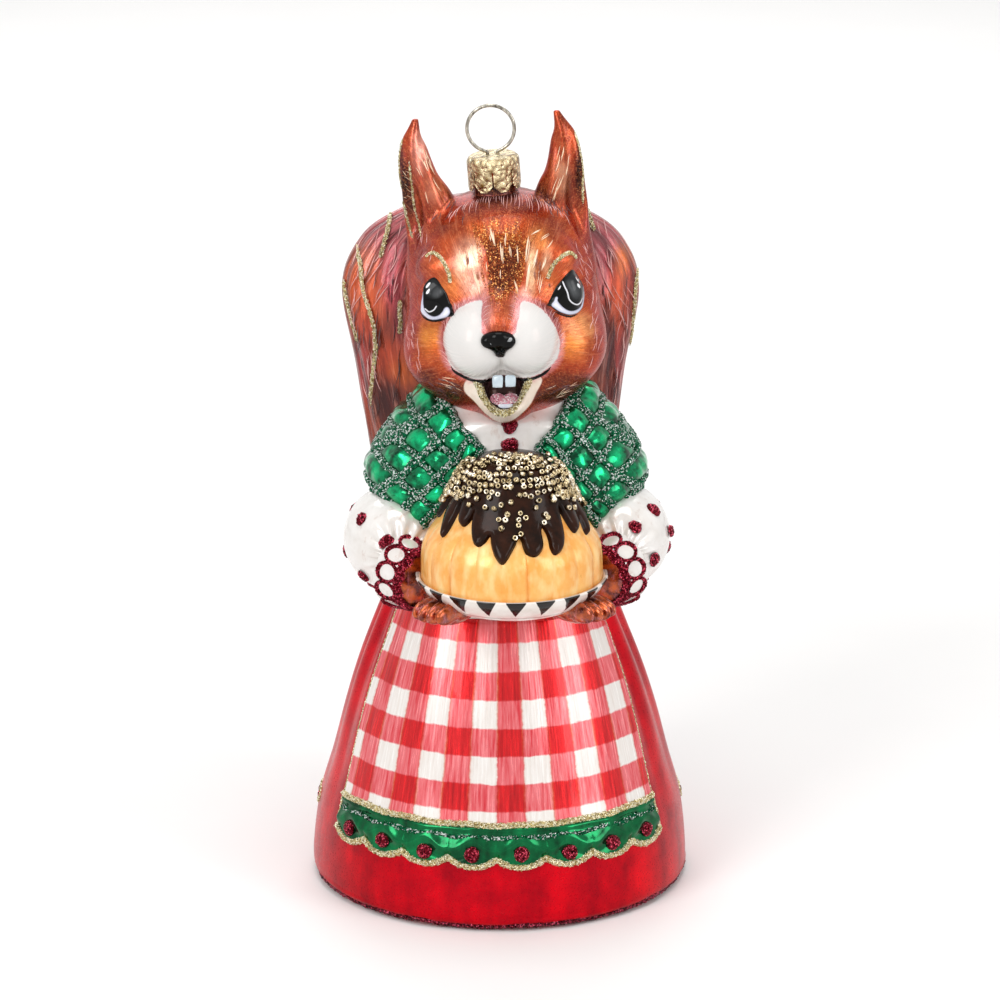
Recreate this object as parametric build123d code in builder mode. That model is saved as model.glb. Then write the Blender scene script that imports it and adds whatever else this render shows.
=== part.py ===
"""Blown-glass squirrel ornament: a squirrel in a long skirt holding a pudding on a plate.

Millimetres, +Z up, the figure faces -Y, and the origin is the middle of the flat foot that it stands on.
Left and right are the figure's own, so its left side is +X.
The glass is a stack of hollow blown forms. Glued on it are glitter trims and sugar beads, and a sheet-metal
crown cap with a sprung wire loop closes the neck on top of the head.
"""

import os
from math import atan2, cos, degrees, pi, radians, sin

from build123d import *

# Glass, and values that every piece shares
glass_wall = 1.0
cut_overrun = 2.0
trim_relief = 0.5
dot_rise = 0.7

# Skirt: a bell of revolution on a flat foot
skirt_height = 60.0
skirt_hem_radius = 38.0
skirt_hem_height = 3.6
skirt_foot_radius = 34.5
skirt_waist_radius = 22.7
# Height share, and share of the way from the waist's radius to the hem's
skirt_side_shares = ((0.25, 0.92), (0.42, 0.74), (0.6, 0.56), (0.77, 0.35))

# Apron on the front of the skirt, with its scalloped border
apron_half_angle = 61.0
apron_turn = -3.5
apron_relief = 0.6
apron_bottom = 21.5
apron_top_drop = 1.5
border_depth = 8.4
scallop_count = 8
scallop_bulge = 1.6
braid_width = 1.1
edge_line_width = 0.7
apron_dot_radius = 1.65
apron_dot_height = 15.6
hem_line_lift = 0.6
hem_line_width = 1.2

# Gold loops with a red dot in each, low on the sides and back of the skirt
sprig_count = 6
sprig_first_angle = 98.0
sprig_height = 15.0
sprig_loop_radius = 1.6
sprig_loop_width = 0.6
sprig_loop_gap = 0.1
sprig_loop_count = 3
sprig_dot_radius = 0.8

# Torso: lofted ovals from the waist to the neck. Everything above the waist leans to the figure's left
upper_side = 1.2
torso_height = 43.0
shoulder_half_width = 27.1
chest_half_depth = 20.4
# Height share, half-width share, half-depth share
torso_section_shares = (
    (0.26, 0.90, 1.0),
    (0.54, 1.0, 0.97),
    (0.72, 0.9, 0.88),
    (0.88, 0.7, 0.76),
    (1.0, 0.5, 0.56),
)
button_radius = 1.5
# Share of the torso's height at which each blouse button sits
button_height_shares = (0.885, 0.80)

# Quilted cape over the shoulders
cape_thickness = 1.4
cape_neck_half_width = 15.4
cape_neck_height = 103.0
cape_front_half_width = 5.4
cape_front_height = 93.4
cape_tip_half_width = 17.2
cape_tip_height = 77.6
cape_outer_half_width = 36.0
cape_outer_height = 88.6
cape_cells = 4
lattice_width = 0.9

# Sleeves, cuffs and paws
sleeve_half_width = 11.2
sleeve_half_depth = 14.0
sleeve_half_height = 10.8
sleeve_side = 21.8
sleeve_front = 6.0
sleeve_height = 72.2
sleeve_dot_radius = 1.45
# Turn about the sleeve's upright axis from its outer side towards the front, and lift above the level
sleeve_dot_angles = ((62, 14), (40, -12), (18, 26), (75, -28), (10, -20), (-25, 4), (-60, 20), (-55, -25))
cuff_radius = 7.6
cuff_hand_radius = 6.2
cuff_width = 6.0
cuff_side = 19.6
cuff_front = 18.6
cuff_height = 68.6
cuff_lean_in = 38.0
cuff_lean_down = 8.0
lace_window_count = 10
lace_window_radius = 1.5
paw_half_width = 4.6
paw_half_length = 9.0
paw_half_height = 3.8
paw_side = 12.6
paw_front = 32.0
paw_height = 66.0
paw_turn = 38.0

# Plate and pudding
pudding_front = 24.5
plate_bottom = 64.4
plate_depth = 6.0
plate_rim_radius = 19.0
plate_foot_radius = 11.5
plate_wall = 1.1
plate_well_radius = 14.5
pudding_radius = 17.9
pudding_height = 28.0
# Radius share and height share of the dome, from the plate up
pudding_side_shares = (
    (1.0, 0.2),
    (0.98, 0.4),
    (0.88, 0.52),
    (0.74, 0.63),
    (0.62, 0.77),
    (0.52, 0.89),
    (0.38, 0.97),
)
flute_count = 20
flute_radius = 2.0
flute_depth = 0.9
icing_thickness = 0.9
icing_line_share = 0.68
drip_start_share = 0.6
drip_count = 20
drip_width = 3.3
drip_length = 7.6
# Share of the full drip length that each drip runs to, repeated round the dome
drip_length_shares = (1.0, 0.66, 0.86, 0.5, 0.95, 0.72, 0.58)
bead_radius = 0.55
bead_gap = 0.03
bead_ring_count = 13
bead_pitch = 1.28
# Share of each bead ring that is filled, from the crown outwards
bead_fill_shares = (1.0, 1.0, 0.95, 0.95, 0.9, 0.9, 0.85, 0.8, 0.7, 0.55, 0.35, 0.22, 0.12)
# How far each bead strays along its ring, as a share of its place's width, and how fast that changes
bead_stray_share = 0.11
bead_stray_step = 7

# Head, built in its own leaning and turned plane
head_height = 118.0
head_side = 0.8
head_roll = 4.2
head_yaw = -5.0
head_half_height = 23.6
head_half_width = 19.8
head_half_depth = 18.8
# Height share from the middle, half-width share, half-depth share, and shift forwards as a share of the depth
head_section_shares = (
    (-0.82, 0.48, 0.46, 0.2),
    (-0.65, 0.78, 0.76, 0.14),
    (-0.43, 0.97, 0.93, 0.1),
    (-0.19, 1.0, 0.99, 0.06),
    (0.08, 0.97, 1.0, 0.03),
    (0.34, 0.93, 0.97, 0.0),
    (0.6, 0.82, 0.87, 0.0),
    (0.8, 0.65, 0.7, 0.0),
    (0.93, 0.44, 0.46, 0.0),
    (1.0, 0.2, 0.21, 0.0),
)
snout_half_width = 4.6
snout_half_depth = 10.6
snout_half_height = 6.4
snout_front = 15.0
snout_lift = 2.2
muzzle_half_width = 7.0
muzzle_half_depth = 9.6
muzzle_half_height = 7.8
muzzle_side = 4.5
muzzle_front = 15.6
muzzle_drop = 1.6
jaw_half_width = 7.2
jaw_half_depth = 8.2
jaw_half_height = 7.0
jaw_front = 13.6
jaw_drop = 11.4
jaw_line_share = 0.86
jaw_line_width = 1.3
mouth_half_width = 5.2
mouth_half_depth = 9.4
mouth_half_height = 4.4
mouth_front = 13.4
mouth_drop = 10.4
nose_half_width = 3.5
nose_half_depth = 2.3
nose_half_height = 2.4
nose_lift = -0.4
nose_front = 24.9
eye_half_width = 3.2
eye_half_depth = 2.4
eye_half_height = 4.1
eye_side = 12.8
eye_front = 12.3
eye_lift = 5.5
tooth_width = 2.1
tooth_height = 3.4
tooth_depth = 1.0
tooth_gap = 0.3
tooth_front = 22.6
tongue_half_width = 3.1
tongue_half_depth = 2.6
tongue_half_height = 1.3
tongue_front = 21.0
tongue_drop = 13.4
brow_width = 1.0
brow_span = 5.4
brow_rise = 4.4
brow_lift = 14.0
brow_side = 11.8

# Ears: leaning horns with a hollowed front
ear_height = 27.0
ear_root_lift = 12.0
ear_half_width = 6.0
ear_half_depth = 5.0
ear_side = 14.4
# Height share, half-width share, half-depth share, share of the ear's distance from the middle
ear_section_shares = (
    (0.0, 1.0, 1.0, 0.83),
    (0.3, 0.92, 0.86, 0.87),
    (0.6, 0.62, 0.62, 1.0),
    (0.83, 0.36, 0.38, 1.03),
    (1.0, 0.11, 0.12, 0.97),
)
ear_hollow_half_width = 2.5
ear_hollow_half_depth = 3.2
ear_hollow_half_height = 7.6
ear_hollow_front = 4.4
ear_hollow_lift = 21.0
ear_hollow_out = 1.8

# Tail: a plume of lofted ovals behind the figure
tail_root = 26.0
tail_height = 107.2
tail_half_width = 30.4
tail_half_depth = 14.0
tail_back = 28.0
tail_side = -0.6
# Height share, half-width share, half-depth share, share of the tail's distance behind the axis
tail_section_shares = (
    (0.0, 0.12, 0.22, 1.1),
    (0.05, 0.26, 0.4, 1.1),
    (0.2, 0.48, 0.62, 1.04),
    (0.36, 0.68, 0.78, 0.96),
    (0.52, 0.82, 0.92, 0.90),
    (0.68, 0.91, 0.98, 0.92),
    (0.83, 1.0, 1.0, 1.0),
    (0.92, 0.87, 0.9, 1.05),
    (0.968, 0.64, 0.66, 1.07),
    (0.99, 0.38, 0.4, 1.08),
    (1.0, 0.16, 0.17, 1.08),
)
tail_line_width = 1.0
# Gold lines down the tail: shares of the half-width at top, middle and foot, then of the height at each end
tail_line_shares = (
    (-0.88, -0.97, -0.80, 0.90, 0.42),
    (-0.62, -0.72, -0.66, 0.95, 0.44),
    (-0.40, -0.50, -0.46, 0.97, 0.66),
    (0.45, 0.58, 0.60, 0.97, 0.60),
    (0.72, 0.86, 0.80, 0.94, 0.44),
)

# Neck of the glass, crown cap and wire loop, all on the head's own upright axis
neck_radius = 4.3
neck_rim_lift = 30.4
neck_wall = 0.9
neck_seat_gap = 0.2
cap_radius = 5.2
cap_sheet = 0.35
cap_height = 6.6
cap_shoulder = 1.3
petal_count = 8
petal_slit = 0.3
petal_slit_height = 4.1
petal_notch = 1.9
wire_radius = 0.35
wire_hole_clearance = 0.1
loop_radius = 4.65
loop_lift = 36.1
loop_neck_bend = 0.6
leg_side = 1.0
leg_spread = 2.1
leg_straight = 3.6
leg_flare = 1.2
leg_tail = 0.9
leg_bend = 0.9


def outward(turn):
    """Unit vector that points away from the Z axis, turn degrees round from the front towards +X."""
    return Vector(sin(radians(turn)), -cos(radians(turn)), 0)


def facing_plane(turn, height):
    """Upright plane inside the skirt's wall at that height, seen square on from turn degrees round."""
    out = outward(turn)
    inside = (skirt_waist_radius + skirt_foot_radius) / 2
    return Plane(origin=out * inside + Vector(0, 0, height), x_dir=(-out.Y, out.X, 0), z_dir=out)


def head_frame():
    """The head's own plane: rolled towards the figure's right, and turned about its own axis."""
    up = Vector(-sin(radians(head_roll)), 0, cos(radians(head_roll)))
    side = Vector(cos(radians(head_roll)), 0, sin(radians(head_roll))).rotate(Axis((0, 0, 0), up), head_yaw)
    return Plane(origin=(head_side, 0, head_height), x_dir=side, z_dir=up)


head_plane = head_frame()
body_plane = Plane.XY
reach = skirt_hem_radius + cape_outer_half_width


def egg(plane, centre, radii):
    """Ellipsoid with its middle at centre, in the plane's own axes."""
    ball = scale(Sphere(1, mode=Mode.PRIVATE), by=radii, mode=Mode.PRIVATE)
    return plane.location * Pos(*centre) * ball


def bell(out=0, floor=0):
    """The skirt's bell, grown outwards by out, with its foot at height floor."""
    hem = (skirt_hem_radius + out, skirt_hem_height)
    waist = (skirt_waist_radius + out, skirt_height)
    flare = skirt_hem_radius - skirt_waist_radius
    side = [(waist[0] + flare * width, skirt_height * height) for height, width in skirt_side_shares]
    foot = (skirt_foot_radius + out, floor)
    with BuildPart() as made:
        with BuildSketch(Plane.XZ):
            with BuildLine():
                Line((0, floor), foot)
                Spline(foot, hem, tangents=((1, 0), (0, 1)))
                Spline(hem, *side, waist)
                Line(waist, (0, skirt_height))
                Line((0, skirt_height), (0, floor))
            make_face()
        revolve(axis=Axis.Z)
    return made.part


def skin(low, high):
    """A layer on the skirt between two heights of relief."""
    return bell(high) - bell(low)


def sector(middle, half_angle, low, high):
    """A slice of a round slab: all that lies within half_angle of the turn middle, between two heights."""
    out = outward(middle - half_angle)
    with BuildPart() as made:
        with BuildSketch(Plane(origin=(0, 0, low), x_dir=out, z_dir=(out.Y, -out.X, 0))):
            Rectangle(reach, high - low, align=(Align.MIN, Align.MIN))
        revolve(axis=Axis.Z, revolution_arc=2 * half_angle)
    return made.part


def torso(out=0):
    """The upper body, grown outwards by out."""
    with BuildPart() as made:
        with BuildSketch(Plane.XY.offset(skirt_height)):
            Ellipse(skirt_waist_radius + out, skirt_waist_radius + out)
        for height, width, depth in torso_section_shares:
            with BuildSketch(Plane.XY.offset(skirt_height + torso_height * height)):
                with Locations((upper_side, 0)):
                    Ellipse(shoulder_half_width * width + out, chest_half_depth * depth + out)
        loft()
    return made.part


def skull(out=0):
    """The head without its snout, grown outwards by out."""
    with BuildPart() as made:
        for height, width, depth, forward in head_section_shares:
            with BuildSketch(head_plane.offset((head_half_height + out) * height)):
                with Locations((0, -head_half_depth * forward)):
                    Ellipse(head_half_width * width + out, head_half_depth * depth + out)
        loft()
    return made.part


def plume(out=0):
    """The tail, grown outwards by out."""
    with BuildPart() as made:
        for height, width, depth, back in tail_section_shares:
            with BuildSketch(Plane.XY.offset(tail_root - out + (tail_height + 2 * out) * height)):
                with Locations((tail_side, tail_back * back)):
                    Ellipse(tail_half_width * width + out, tail_half_depth * depth + out)
        loft()
    return made.part


def pudding_line(out=0):
    """Half outline of the pudding's dome, from the plate's floor to the crown, grown outwards by out."""
    wide = pudding_radius + out
    tall = pudding_height + out
    side = [(wide * width, tall * height) for width, height in pudding_side_shares]
    return Spline((wide, 0), *side, (0, tall), tangents=((0, 1), (-1, 0)), mode=Mode.PRIVATE)


pudding_floor = plate_bottom + plate_wall
pudding_plane = Plane(origin=(upper_side, -pudding_front, pudding_floor))


def dome(out=0):
    """The pudding's dome, grown outwards by out."""
    side = pudding_line(out)
    with BuildPart() as made:
        with BuildSketch(Plane(pudding_plane.origin, x_dir=(1, 0, 0), z_dir=(0, -1, 0))):
            with BuildLine():
                add(side)
                Line(side @ 1, (0, 0))
                Line((0, 0), side @ 0)
            make_face()
        revolve(axis=Axis(pudding_plane.origin, (0, 0, 1)))
    return made.part


sleeve_place = Vector(upper_side + sleeve_side, -sleeve_front, sleeve_height)


def sleeve_puff(out=0):
    """The left sleeve's puff, grown outwards by out."""
    radii = (sleeve_half_width + out, sleeve_half_depth + out, sleeve_half_height + out)
    return egg(body_plane, sleeve_place, radii)


def solid_outside(shape, *cutters):
    """shape without what lies inside any cutter."""
    with BuildPart() as made:
        add(shape)
        for cutter in cutters:
            add(cutter, mode=Mode.SUBTRACT)
    return made.part


def mirrored(shape):
    """The same shape on the figure's right side."""
    return mirror(shape, about=Plane.YZ.offset(upper_side), mode=Mode.PRIVATE)


def keep(part, name, solids=None):
    """Labels a finished piece and writes it. With solids, only that many of its largest solids stay."""
    if solids:
        part = Part(Compound(part.solids().sort_by(SortBy.VOLUME)[-solids:]).wrapped)
    part.label = name
    export_step(part, f"parts/{name}.step")


os.makedirs("parts", exist_ok=True)

# Solids that other pieces are cut against
bell_outside = bell()
torso_outside = torso()
skull_outside = skull()
dome_outside = dome()

# Skirt glass
with BuildPart() as skirt:
    add(bell_outside)
    add(bell(-glass_wall, glass_wall), mode=Mode.SUBTRACT)
keep(skirt.part, "skirt")

# Torso glass, open into the skirt and into the head
with BuildPart() as blouse:
    add(torso_outside)
    add(torso(-glass_wall), mode=Mode.SUBTRACT)
    add(skull(-glass_wall), mode=Mode.SUBTRACT)
keep(blouse.part, "blouse", 1)

# Head glass with the snout's bridge, open at the top into the neck
neck_root_lift = head_half_height - glass_wall - cut_overrun
snout = egg(
    head_plane, (0, -snout_front, snout_lift), (snout_half_width, snout_half_depth, snout_half_height)
)
with BuildPart() as neck_bore:
    with Locations(head_plane.offset(neck_root_lift - cut_overrun).location):
        Cylinder(
            neck_radius - neck_wall,
            neck_rim_lift - neck_root_lift + 2 * cut_overrun,
            align=(Align.CENTER, Align.CENTER, Align.MIN),
        )
with BuildPart() as head:
    add(skull_outside)
    add(snout)
    add(skull(-glass_wall), mode=Mode.SUBTRACT)
    add(neck_bore.part, mode=Mode.SUBTRACT)
    add(torso_outside, mode=Mode.SUBTRACT)
keep(head.part, "head", 1)

# Neck tube that takes the cap
with BuildPart() as neck:
    with Locations(head_plane.offset(neck_root_lift).location):
        Cylinder(neck_radius, neck_rim_lift - neck_root_lift, align=(Align.CENTER, Align.CENTER, Align.MIN))
neck_outside = neck.part
keep(solid_outside(neck_outside, skull_outside, neck_bore.part), "neck", 1)
head_outside = skull_outside + snout + neck_outside

# Muzzle pads, lower jaw, mouth, teeth and tongue
muzzle_radii = (muzzle_half_width, muzzle_half_depth, muzzle_half_height)
pads = [egg(head_plane, (side * muzzle_side, -muzzle_front, -muzzle_drop), muzzle_radii) for side in (-1, 1)]
pads_outside = pads[0] + pads[1]
jaw_centre = (0, -jaw_front, -jaw_drop)
jaw_radii = (jaw_half_width, jaw_half_depth, jaw_half_height)
jaw_outside = egg(head_plane, jaw_centre, jaw_radii)
jaw_grown = egg(head_plane, jaw_centre, tuple(radius + trim_relief for radius in jaw_radii))
mouth_outside = egg(
    head_plane, (0, -mouth_front, -mouth_drop), (mouth_half_width, mouth_half_depth, mouth_half_height)
)
nose_outside = egg(
    head_plane, (0, -nose_front, nose_lift), (nose_half_width, nose_half_depth, nose_half_height)
)
keep(solid_outside(pads_outside, head_outside, nose_outside), "muzzle")
keep(solid_outside(nose_outside, head_outside), "nose", 1)
keep(solid_outside(mouth_outside, head_outside, pads_outside, torso_outside), "mouth", 1)
keep(solid_outside(jaw_outside, head_outside, pads_outside, mouth_outside, torso_outside), "lower_jaw", 1)
with BuildPart() as jaw_line:
    with BuildSketch(Plane(head_plane.origin, x_dir=head_plane.x_dir, z_dir=-head_plane.y_dir)):
        with BuildLine():
            EllipticalCenterArc(
                (0, -jaw_drop),
                jaw_half_width * jaw_line_share,
                jaw_half_height * jaw_line_share,
                start_angle=180,
                arc_size=180,
            )
        trace(line_width=jaw_line_width)
    extrude(amount=reach)
    add(jaw_grown, mode=Mode.INTERSECT)
    for cutter in (jaw_outside, head_outside, pads_outside, mouth_outside, torso_outside):
        add(cutter, mode=Mode.SUBTRACT)
keep(jaw_line.part, "jaw_line")
with BuildPart() as teeth:
    with Locations(head_plane.location):
        for side in (-1, 1):
            tooth_side = side * (tooth_width + tooth_gap) / 2
            with Locations((tooth_side, -tooth_front, -mouth_drop + mouth_half_height)):
                Box(tooth_width, tooth_depth, tooth_height)
    for cutter in (pads_outside, mouth_outside):
        add(cutter, mode=Mode.SUBTRACT)
keep(teeth.part, "teeth", 2)
tongue = egg(
    head_plane, (0, -tongue_front, -tongue_drop), (tongue_half_width, tongue_half_depth, tongue_half_height)
)
keep(solid_outside(tongue, mouth_outside, jaw_outside), "tongue", 1)

# Eyes
eye_radii = (eye_half_width, eye_half_depth, eye_half_height)
for side, name in ((1, "eye_left"), (-1, "eye_right")):
    eye = egg(head_plane, (side * eye_side, -eye_front, eye_lift), eye_radii)
    keep(solid_outside(eye, head_outside, pads_outside), name, 1)

# Ears
ear_hollow_radii = (ear_hollow_half_width, ear_hollow_half_depth, ear_hollow_half_height)
for side, name in ((1, "ear_left"), (-1, "ear_right")):
    with BuildPart() as ear:
        for height, width, depth, along in ear_section_shares:
            with BuildSketch(head_plane.offset(ear_root_lift + ear_height * height)):
                with Locations((side * ear_side * along, 0)):
                    Ellipse(ear_half_width * width, ear_half_depth * depth)
        loft()
        hollow_centre = (side * (ear_side + ear_hollow_out), -ear_hollow_front, ear_hollow_lift)
        add(egg(head_plane, hollow_centre, ear_hollow_radii), mode=Mode.SUBTRACT)
        add(head_outside, mode=Mode.SUBTRACT)
    keep(ear.part, name, 1)

# Quilted cape: two panels that wrap over the shoulders
def cape_outline():
    """Corners of the left panel seen from the front."""
    return [
        (upper_side + cape_front_half_width, cape_front_height),
        (upper_side + cape_neck_half_width, cape_neck_height + cut_overrun),
        (upper_side + cape_outer_half_width, cape_neck_height + cut_overrun),
        (upper_side + cape_outer_half_width, cape_outer_height),
        (upper_side + cape_tip_half_width, cape_tip_height),
    ]


def along(start, end, share):
    """Point at that share of the way from start to end."""
    return (start[0] + (end[0] - start[0]) * share, start[1] + (end[1] - start[1]) * share)


def quilting_lines():
    """Ends of each quilting line, in both directions across the left panel, seen from the front."""
    front, neck, _, outer, tip = cape_outline()
    neck = (neck[0], cape_neck_height)
    steps = [step / cape_cells for step in range(cape_cells + 1)]
    down = [(along(neck, outer, share), along(front, tip, share)) for share in steps]
    across = [(along(neck, front, share), along(outer, tip, share)) for share in steps]
    return down + across


cape_outside = torso(cape_thickness)
quilt_outside = torso(cape_thickness + trim_relief)
with BuildPart() as cape_prism:
    with BuildSketch(Plane.XZ.offset(-reach)):
        with BuildLine():
            Polyline(*cape_outline(), close=True)
        make_face()
    extrude(amount=2 * reach)
cape_solid = quilt_outside & cape_prism.part
with BuildPart() as cape_panel:
    add(cape_outside)
    add(torso_outside, mode=Mode.SUBTRACT)
    add(cape_prism.part, mode=Mode.INTERSECT)
with BuildPart() as lattice:
    with BuildSketch(Plane.XZ.offset(-reach)):
        for start, end in quilting_lines():
            with BuildLine():
                Line(start, end)
            trace(line_width=lattice_width)
    extrude(amount=2 * reach)
    add(cape_solid, mode=Mode.INTERSECT)
    add(cape_outside, mode=Mode.SUBTRACT)
cape_parts = {"left": cape_panel.part, "right": mirrored(cape_panel.part)}
lattice_parts = {"left": lattice.part, "right": mirrored(lattice.part)}
dome_iced = dome(icing_thickness)
cape_walls = (head_outside, torso_outside, dome_iced)
for name in ("left", "right"):
    keep(solid_outside(cape_parts[name], *cape_walls), f"cape_{name}", 1)
    keep(solid_outside(lattice_parts[name], *cape_walls), f"cape_lattice_{name}")

# Blouse buttons
with BuildPart() as buttons:
    for share in button_height_shares:
        level = skirt_height + torso_height * share
        with BuildSketch(Plane(origin=(upper_side, 0, level), x_dir=(1, 0, 0), z_dir=(0, -1, 0))):
            Circle(button_radius)
        extrude(amount=reach)
    add(torso(dot_rise), mode=Mode.INTERSECT)
    add(torso_outside, mode=Mode.SUBTRACT)
    add(dome_iced, mode=Mode.SUBTRACT)
keep(buttons.part, "blouse_buttons")

# Plate
with BuildPart() as plate:
    with BuildSketch(Plane((upper_side, -pudding_front, plate_bottom), x_dir=(1, 0, 0), z_dir=(0, -1, 0))):
        with BuildLine():
            rim_radius = plate_rim_radius - plate_wall
            Line((0, 0), (plate_foot_radius, 0))
            Spline((plate_foot_radius, 0), (plate_rim_radius, plate_depth), tangents=((1, 0), (0, 1)))
            Line((plate_rim_radius, plate_depth), (rim_radius, plate_depth))
            Spline((rim_radius, plate_depth), (plate_well_radius, plate_wall), tangents=((0, -1), (-1, 0)))
            Line((plate_well_radius, plate_wall), (0, plate_wall))
            Line((0, plate_wall), (0, 0))
        make_face()
    revolve(axis=Axis(pudding_plane.origin, (0, 0, 1)))
plate_whole = plate.part
keep(solid_outside(plate_whole, torso_outside), "plate", 1)

# Pudding
with BuildPart() as pudding:
    add(dome_outside)
    with Locations(pudding_plane.location):
        with PolarLocations(pudding_radius + flute_radius - flute_depth, flute_count):
            Cylinder(flute_radius, pudding_height, mode=Mode.SUBTRACT)
    for cutter in (dome(-glass_wall), plate_whole, torso_outside):
        add(cutter, mode=Mode.SUBTRACT)
keep(pudding.part, "pudding", 1)

# Icing that runs down the pudding in drips
icing_line = pudding_height * icing_line_share
drip_start = pudding_radius * drip_start_share
with BuildPart() as icing:
    with Locations(pudding_plane.offset(icing_line).location):
        Cylinder(reach, pudding_height, align=(Align.CENTER, Align.CENTER, Align.MIN))
    for count in range(drip_count):
        turn = 360 * count / drip_count
        length = drip_length * drip_length_shares[count % len(drip_length_shares)]
        out = outward(turn)
        drip_root = pudding_plane.offset(icing_line).origin + out * drip_start
        drip_plane = Plane(drip_root, x_dir=(-out.Y, out.X, 0), z_dir=out)
        with BuildSketch(drip_plane):
            with Locations((0, (drip_width - length) / 2)):
                SlotOverall(length + drip_width, drip_width, rotation=90)
        extrude(amount=reach)
    add(dome_iced, mode=Mode.INTERSECT)
    add(dome_outside, mode=Mode.SUBTRACT)
    add(torso_outside, mode=Mode.SUBTRACT)
keep(icing.part, "icing", 1)

# Sugar beads on the icing, ring by ring from the crown
crown_line = pudding_line(icing_thickness)
bead_lift = bead_radius + bead_gap
chest_clear = torso(cape_thickness + trim_relief + bead_lift)
beads = []
for ring in range(bead_ring_count):
    share = 1 - ring * bead_pitch / crown_line.length
    foot = crown_line @ share
    slope = crown_line % share
    radius = foot.X + slope.Y * bead_lift
    level = foot.Y - slope.X * bead_lift
    places = max(1, int(2 * pi * radius / bead_pitch))
    kept = max(1, round(places * bead_fill_shares[ring]))
    for place in range(kept):
        stray = bead_stray_share * sin(bead_stray_step * place + ring)
        turn = 360 * (place + stray) / kept + degrees(ring)
        beads.append(pudding_plane.from_local_coords(outward(turn) * radius + Vector(0, 0, level)))
with BuildPart() as sugar_beads:
    with Locations([place for place in beads if not chest_clear.is_inside(place)]):
        Sphere(bead_radius)
keep(sugar_beads.part, "sugar_beads")

# Tail, cut to lie against the head, the cape and the skirt, with gold lines down it
tail_outside = plume()
back_walls = (bell_outside, quilt_outside, head_outside)
keep(solid_outside(tail_outside, plume(-glass_wall), *back_walls), "tail", 1)
with BuildPart() as tail_lines:
    with BuildSketch(Plane.XZ.offset(-reach)):
        for top, middle, foot, high, low in tail_line_shares:
            heights = [tail_root + tail_height * share for share in (high, (high + low) / 2, low)]
            sides = [tail_side + tail_half_width * share for share in (top, middle, foot)]
            with BuildLine():
                ThreePointArc(*zip(sides, heights))
            trace(line_width=tail_line_width)
    extrude(amount=2 * reach)
    add(plume(trim_relief) - tail_outside, mode=Mode.INTERSECT)
    add(quilt_outside, mode=Mode.SUBTRACT)
    add(head_outside, mode=Mode.SUBTRACT)
keep(tail_lines.part, "tail_lines")

# Brow lines over the eyes, and the line round the lower jaw
with BuildPart() as brows:
    with BuildSketch(Plane(head_plane.origin, x_dir=head_plane.x_dir, z_dir=-head_plane.y_dir)):
        for side in (-1, 1):
            foot = (side * (brow_side - brow_span / 2), brow_lift - brow_rise)
            crown = (side * brow_side, brow_lift)
            tip = (side * (brow_side + brow_span / 2), brow_lift - brow_rise / 2)
            with BuildLine():
                ThreePointArc(foot, crown, tip)
            trace(line_width=brow_width)
    extrude(amount=reach)
    add(skull(trim_relief), mode=Mode.INTERSECT)
    add(head_outside, mode=Mode.SUBTRACT)
keep(brows.part, "brow_lines")

# Sleeves, cuffs, lace and paws: made once for the left, then mirrored
cuff_out = Vector(0, -1, 0).rotate(Axis.Z, -cuff_lean_in).rotate(Axis.X, cuff_lean_down)
cuff_plane = Plane((upper_side + cuff_side, -cuff_front, cuff_height), z_dir=cuff_out)


def cuff_cone(out=0):
    """The left cuff's flared band, grown outwards by out."""
    cone = Cone(cuff_radius + out, cuff_hand_radius + out, cuff_width, mode=Mode.PRIVATE)
    return cuff_plane.location * cone


cuff_whole = cuff_cone()
with BuildPart() as lace:
    with Locations(cuff_plane.location):
        Cone(cuff_radius + trim_relief, cuff_hand_radius + trim_relief, cuff_width)
        with PolarLocations(cuff_radius, lace_window_count):
            Cylinder(
                lace_window_radius,
                cuff_radius,
                rotation=(0, 90, 0),
                align=(Align.CENTER, Align.CENTER, Align.CENTER),
                mode=Mode.SUBTRACT,
            )
    add(cuff_whole, mode=Mode.SUBTRACT)
paw_location = Location((upper_side + paw_side, -paw_front, paw_height), (0, 0, paw_turn))
paw = paw_location * scale(
    Sphere(1, mode=Mode.PRIVATE), by=(paw_half_width, paw_half_length, paw_half_height), mode=Mode.PRIVATE
)
sleeve_whole = sleeve_puff()
chest_walls = (torso_outside, cape_solid, plate_whole, dome_iced)
sleeve = solid_outside(sleeve_whole, sleeve_puff(-glass_wall), *chest_walls, cuff_whole, lace.part)
cuff = solid_outside(cuff_whole, *chest_walls)
paw_cut = solid_outside(paw, torso_outside, plate_whole, dome_iced, cuff_whole, lace.part)
lace_cut = solid_outside(lace.part, *chest_walls)
with BuildPart() as sleeve_dots:
    for turn, lift in sleeve_dot_angles:
        dot_way = outward(turn + 90) * cos(radians(lift)) + Vector(0, 0, sin(radians(lift)))
        with BuildSketch(Plane(sleeve_place, z_dir=dot_way)):
            Circle(sleeve_dot_radius)
        extrude(amount=reach)
    add(sleeve_puff(dot_rise), mode=Mode.INTERSECT)
    for cutter in (sleeve_whole, torso_outside, cape_solid, cuff_whole, lace.part):
        add(cutter, mode=Mode.SUBTRACT)
left_parts = {
    "sleeve": sleeve,
    "cuff": cuff,
    "cuff_lace": lace_cut,
    "paw": paw_cut,
    "sleeve_dots": sleeve_dots.part,
}
for name, made in left_parts.items():
    solids = None if name in ("cuff_lace", "sleeve_dots") else 1
    keep(made, f"{name}_left", solids)
    keep(solid_outside(mirrored(made), torso_outside), f"{name}_right", solids)

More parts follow.
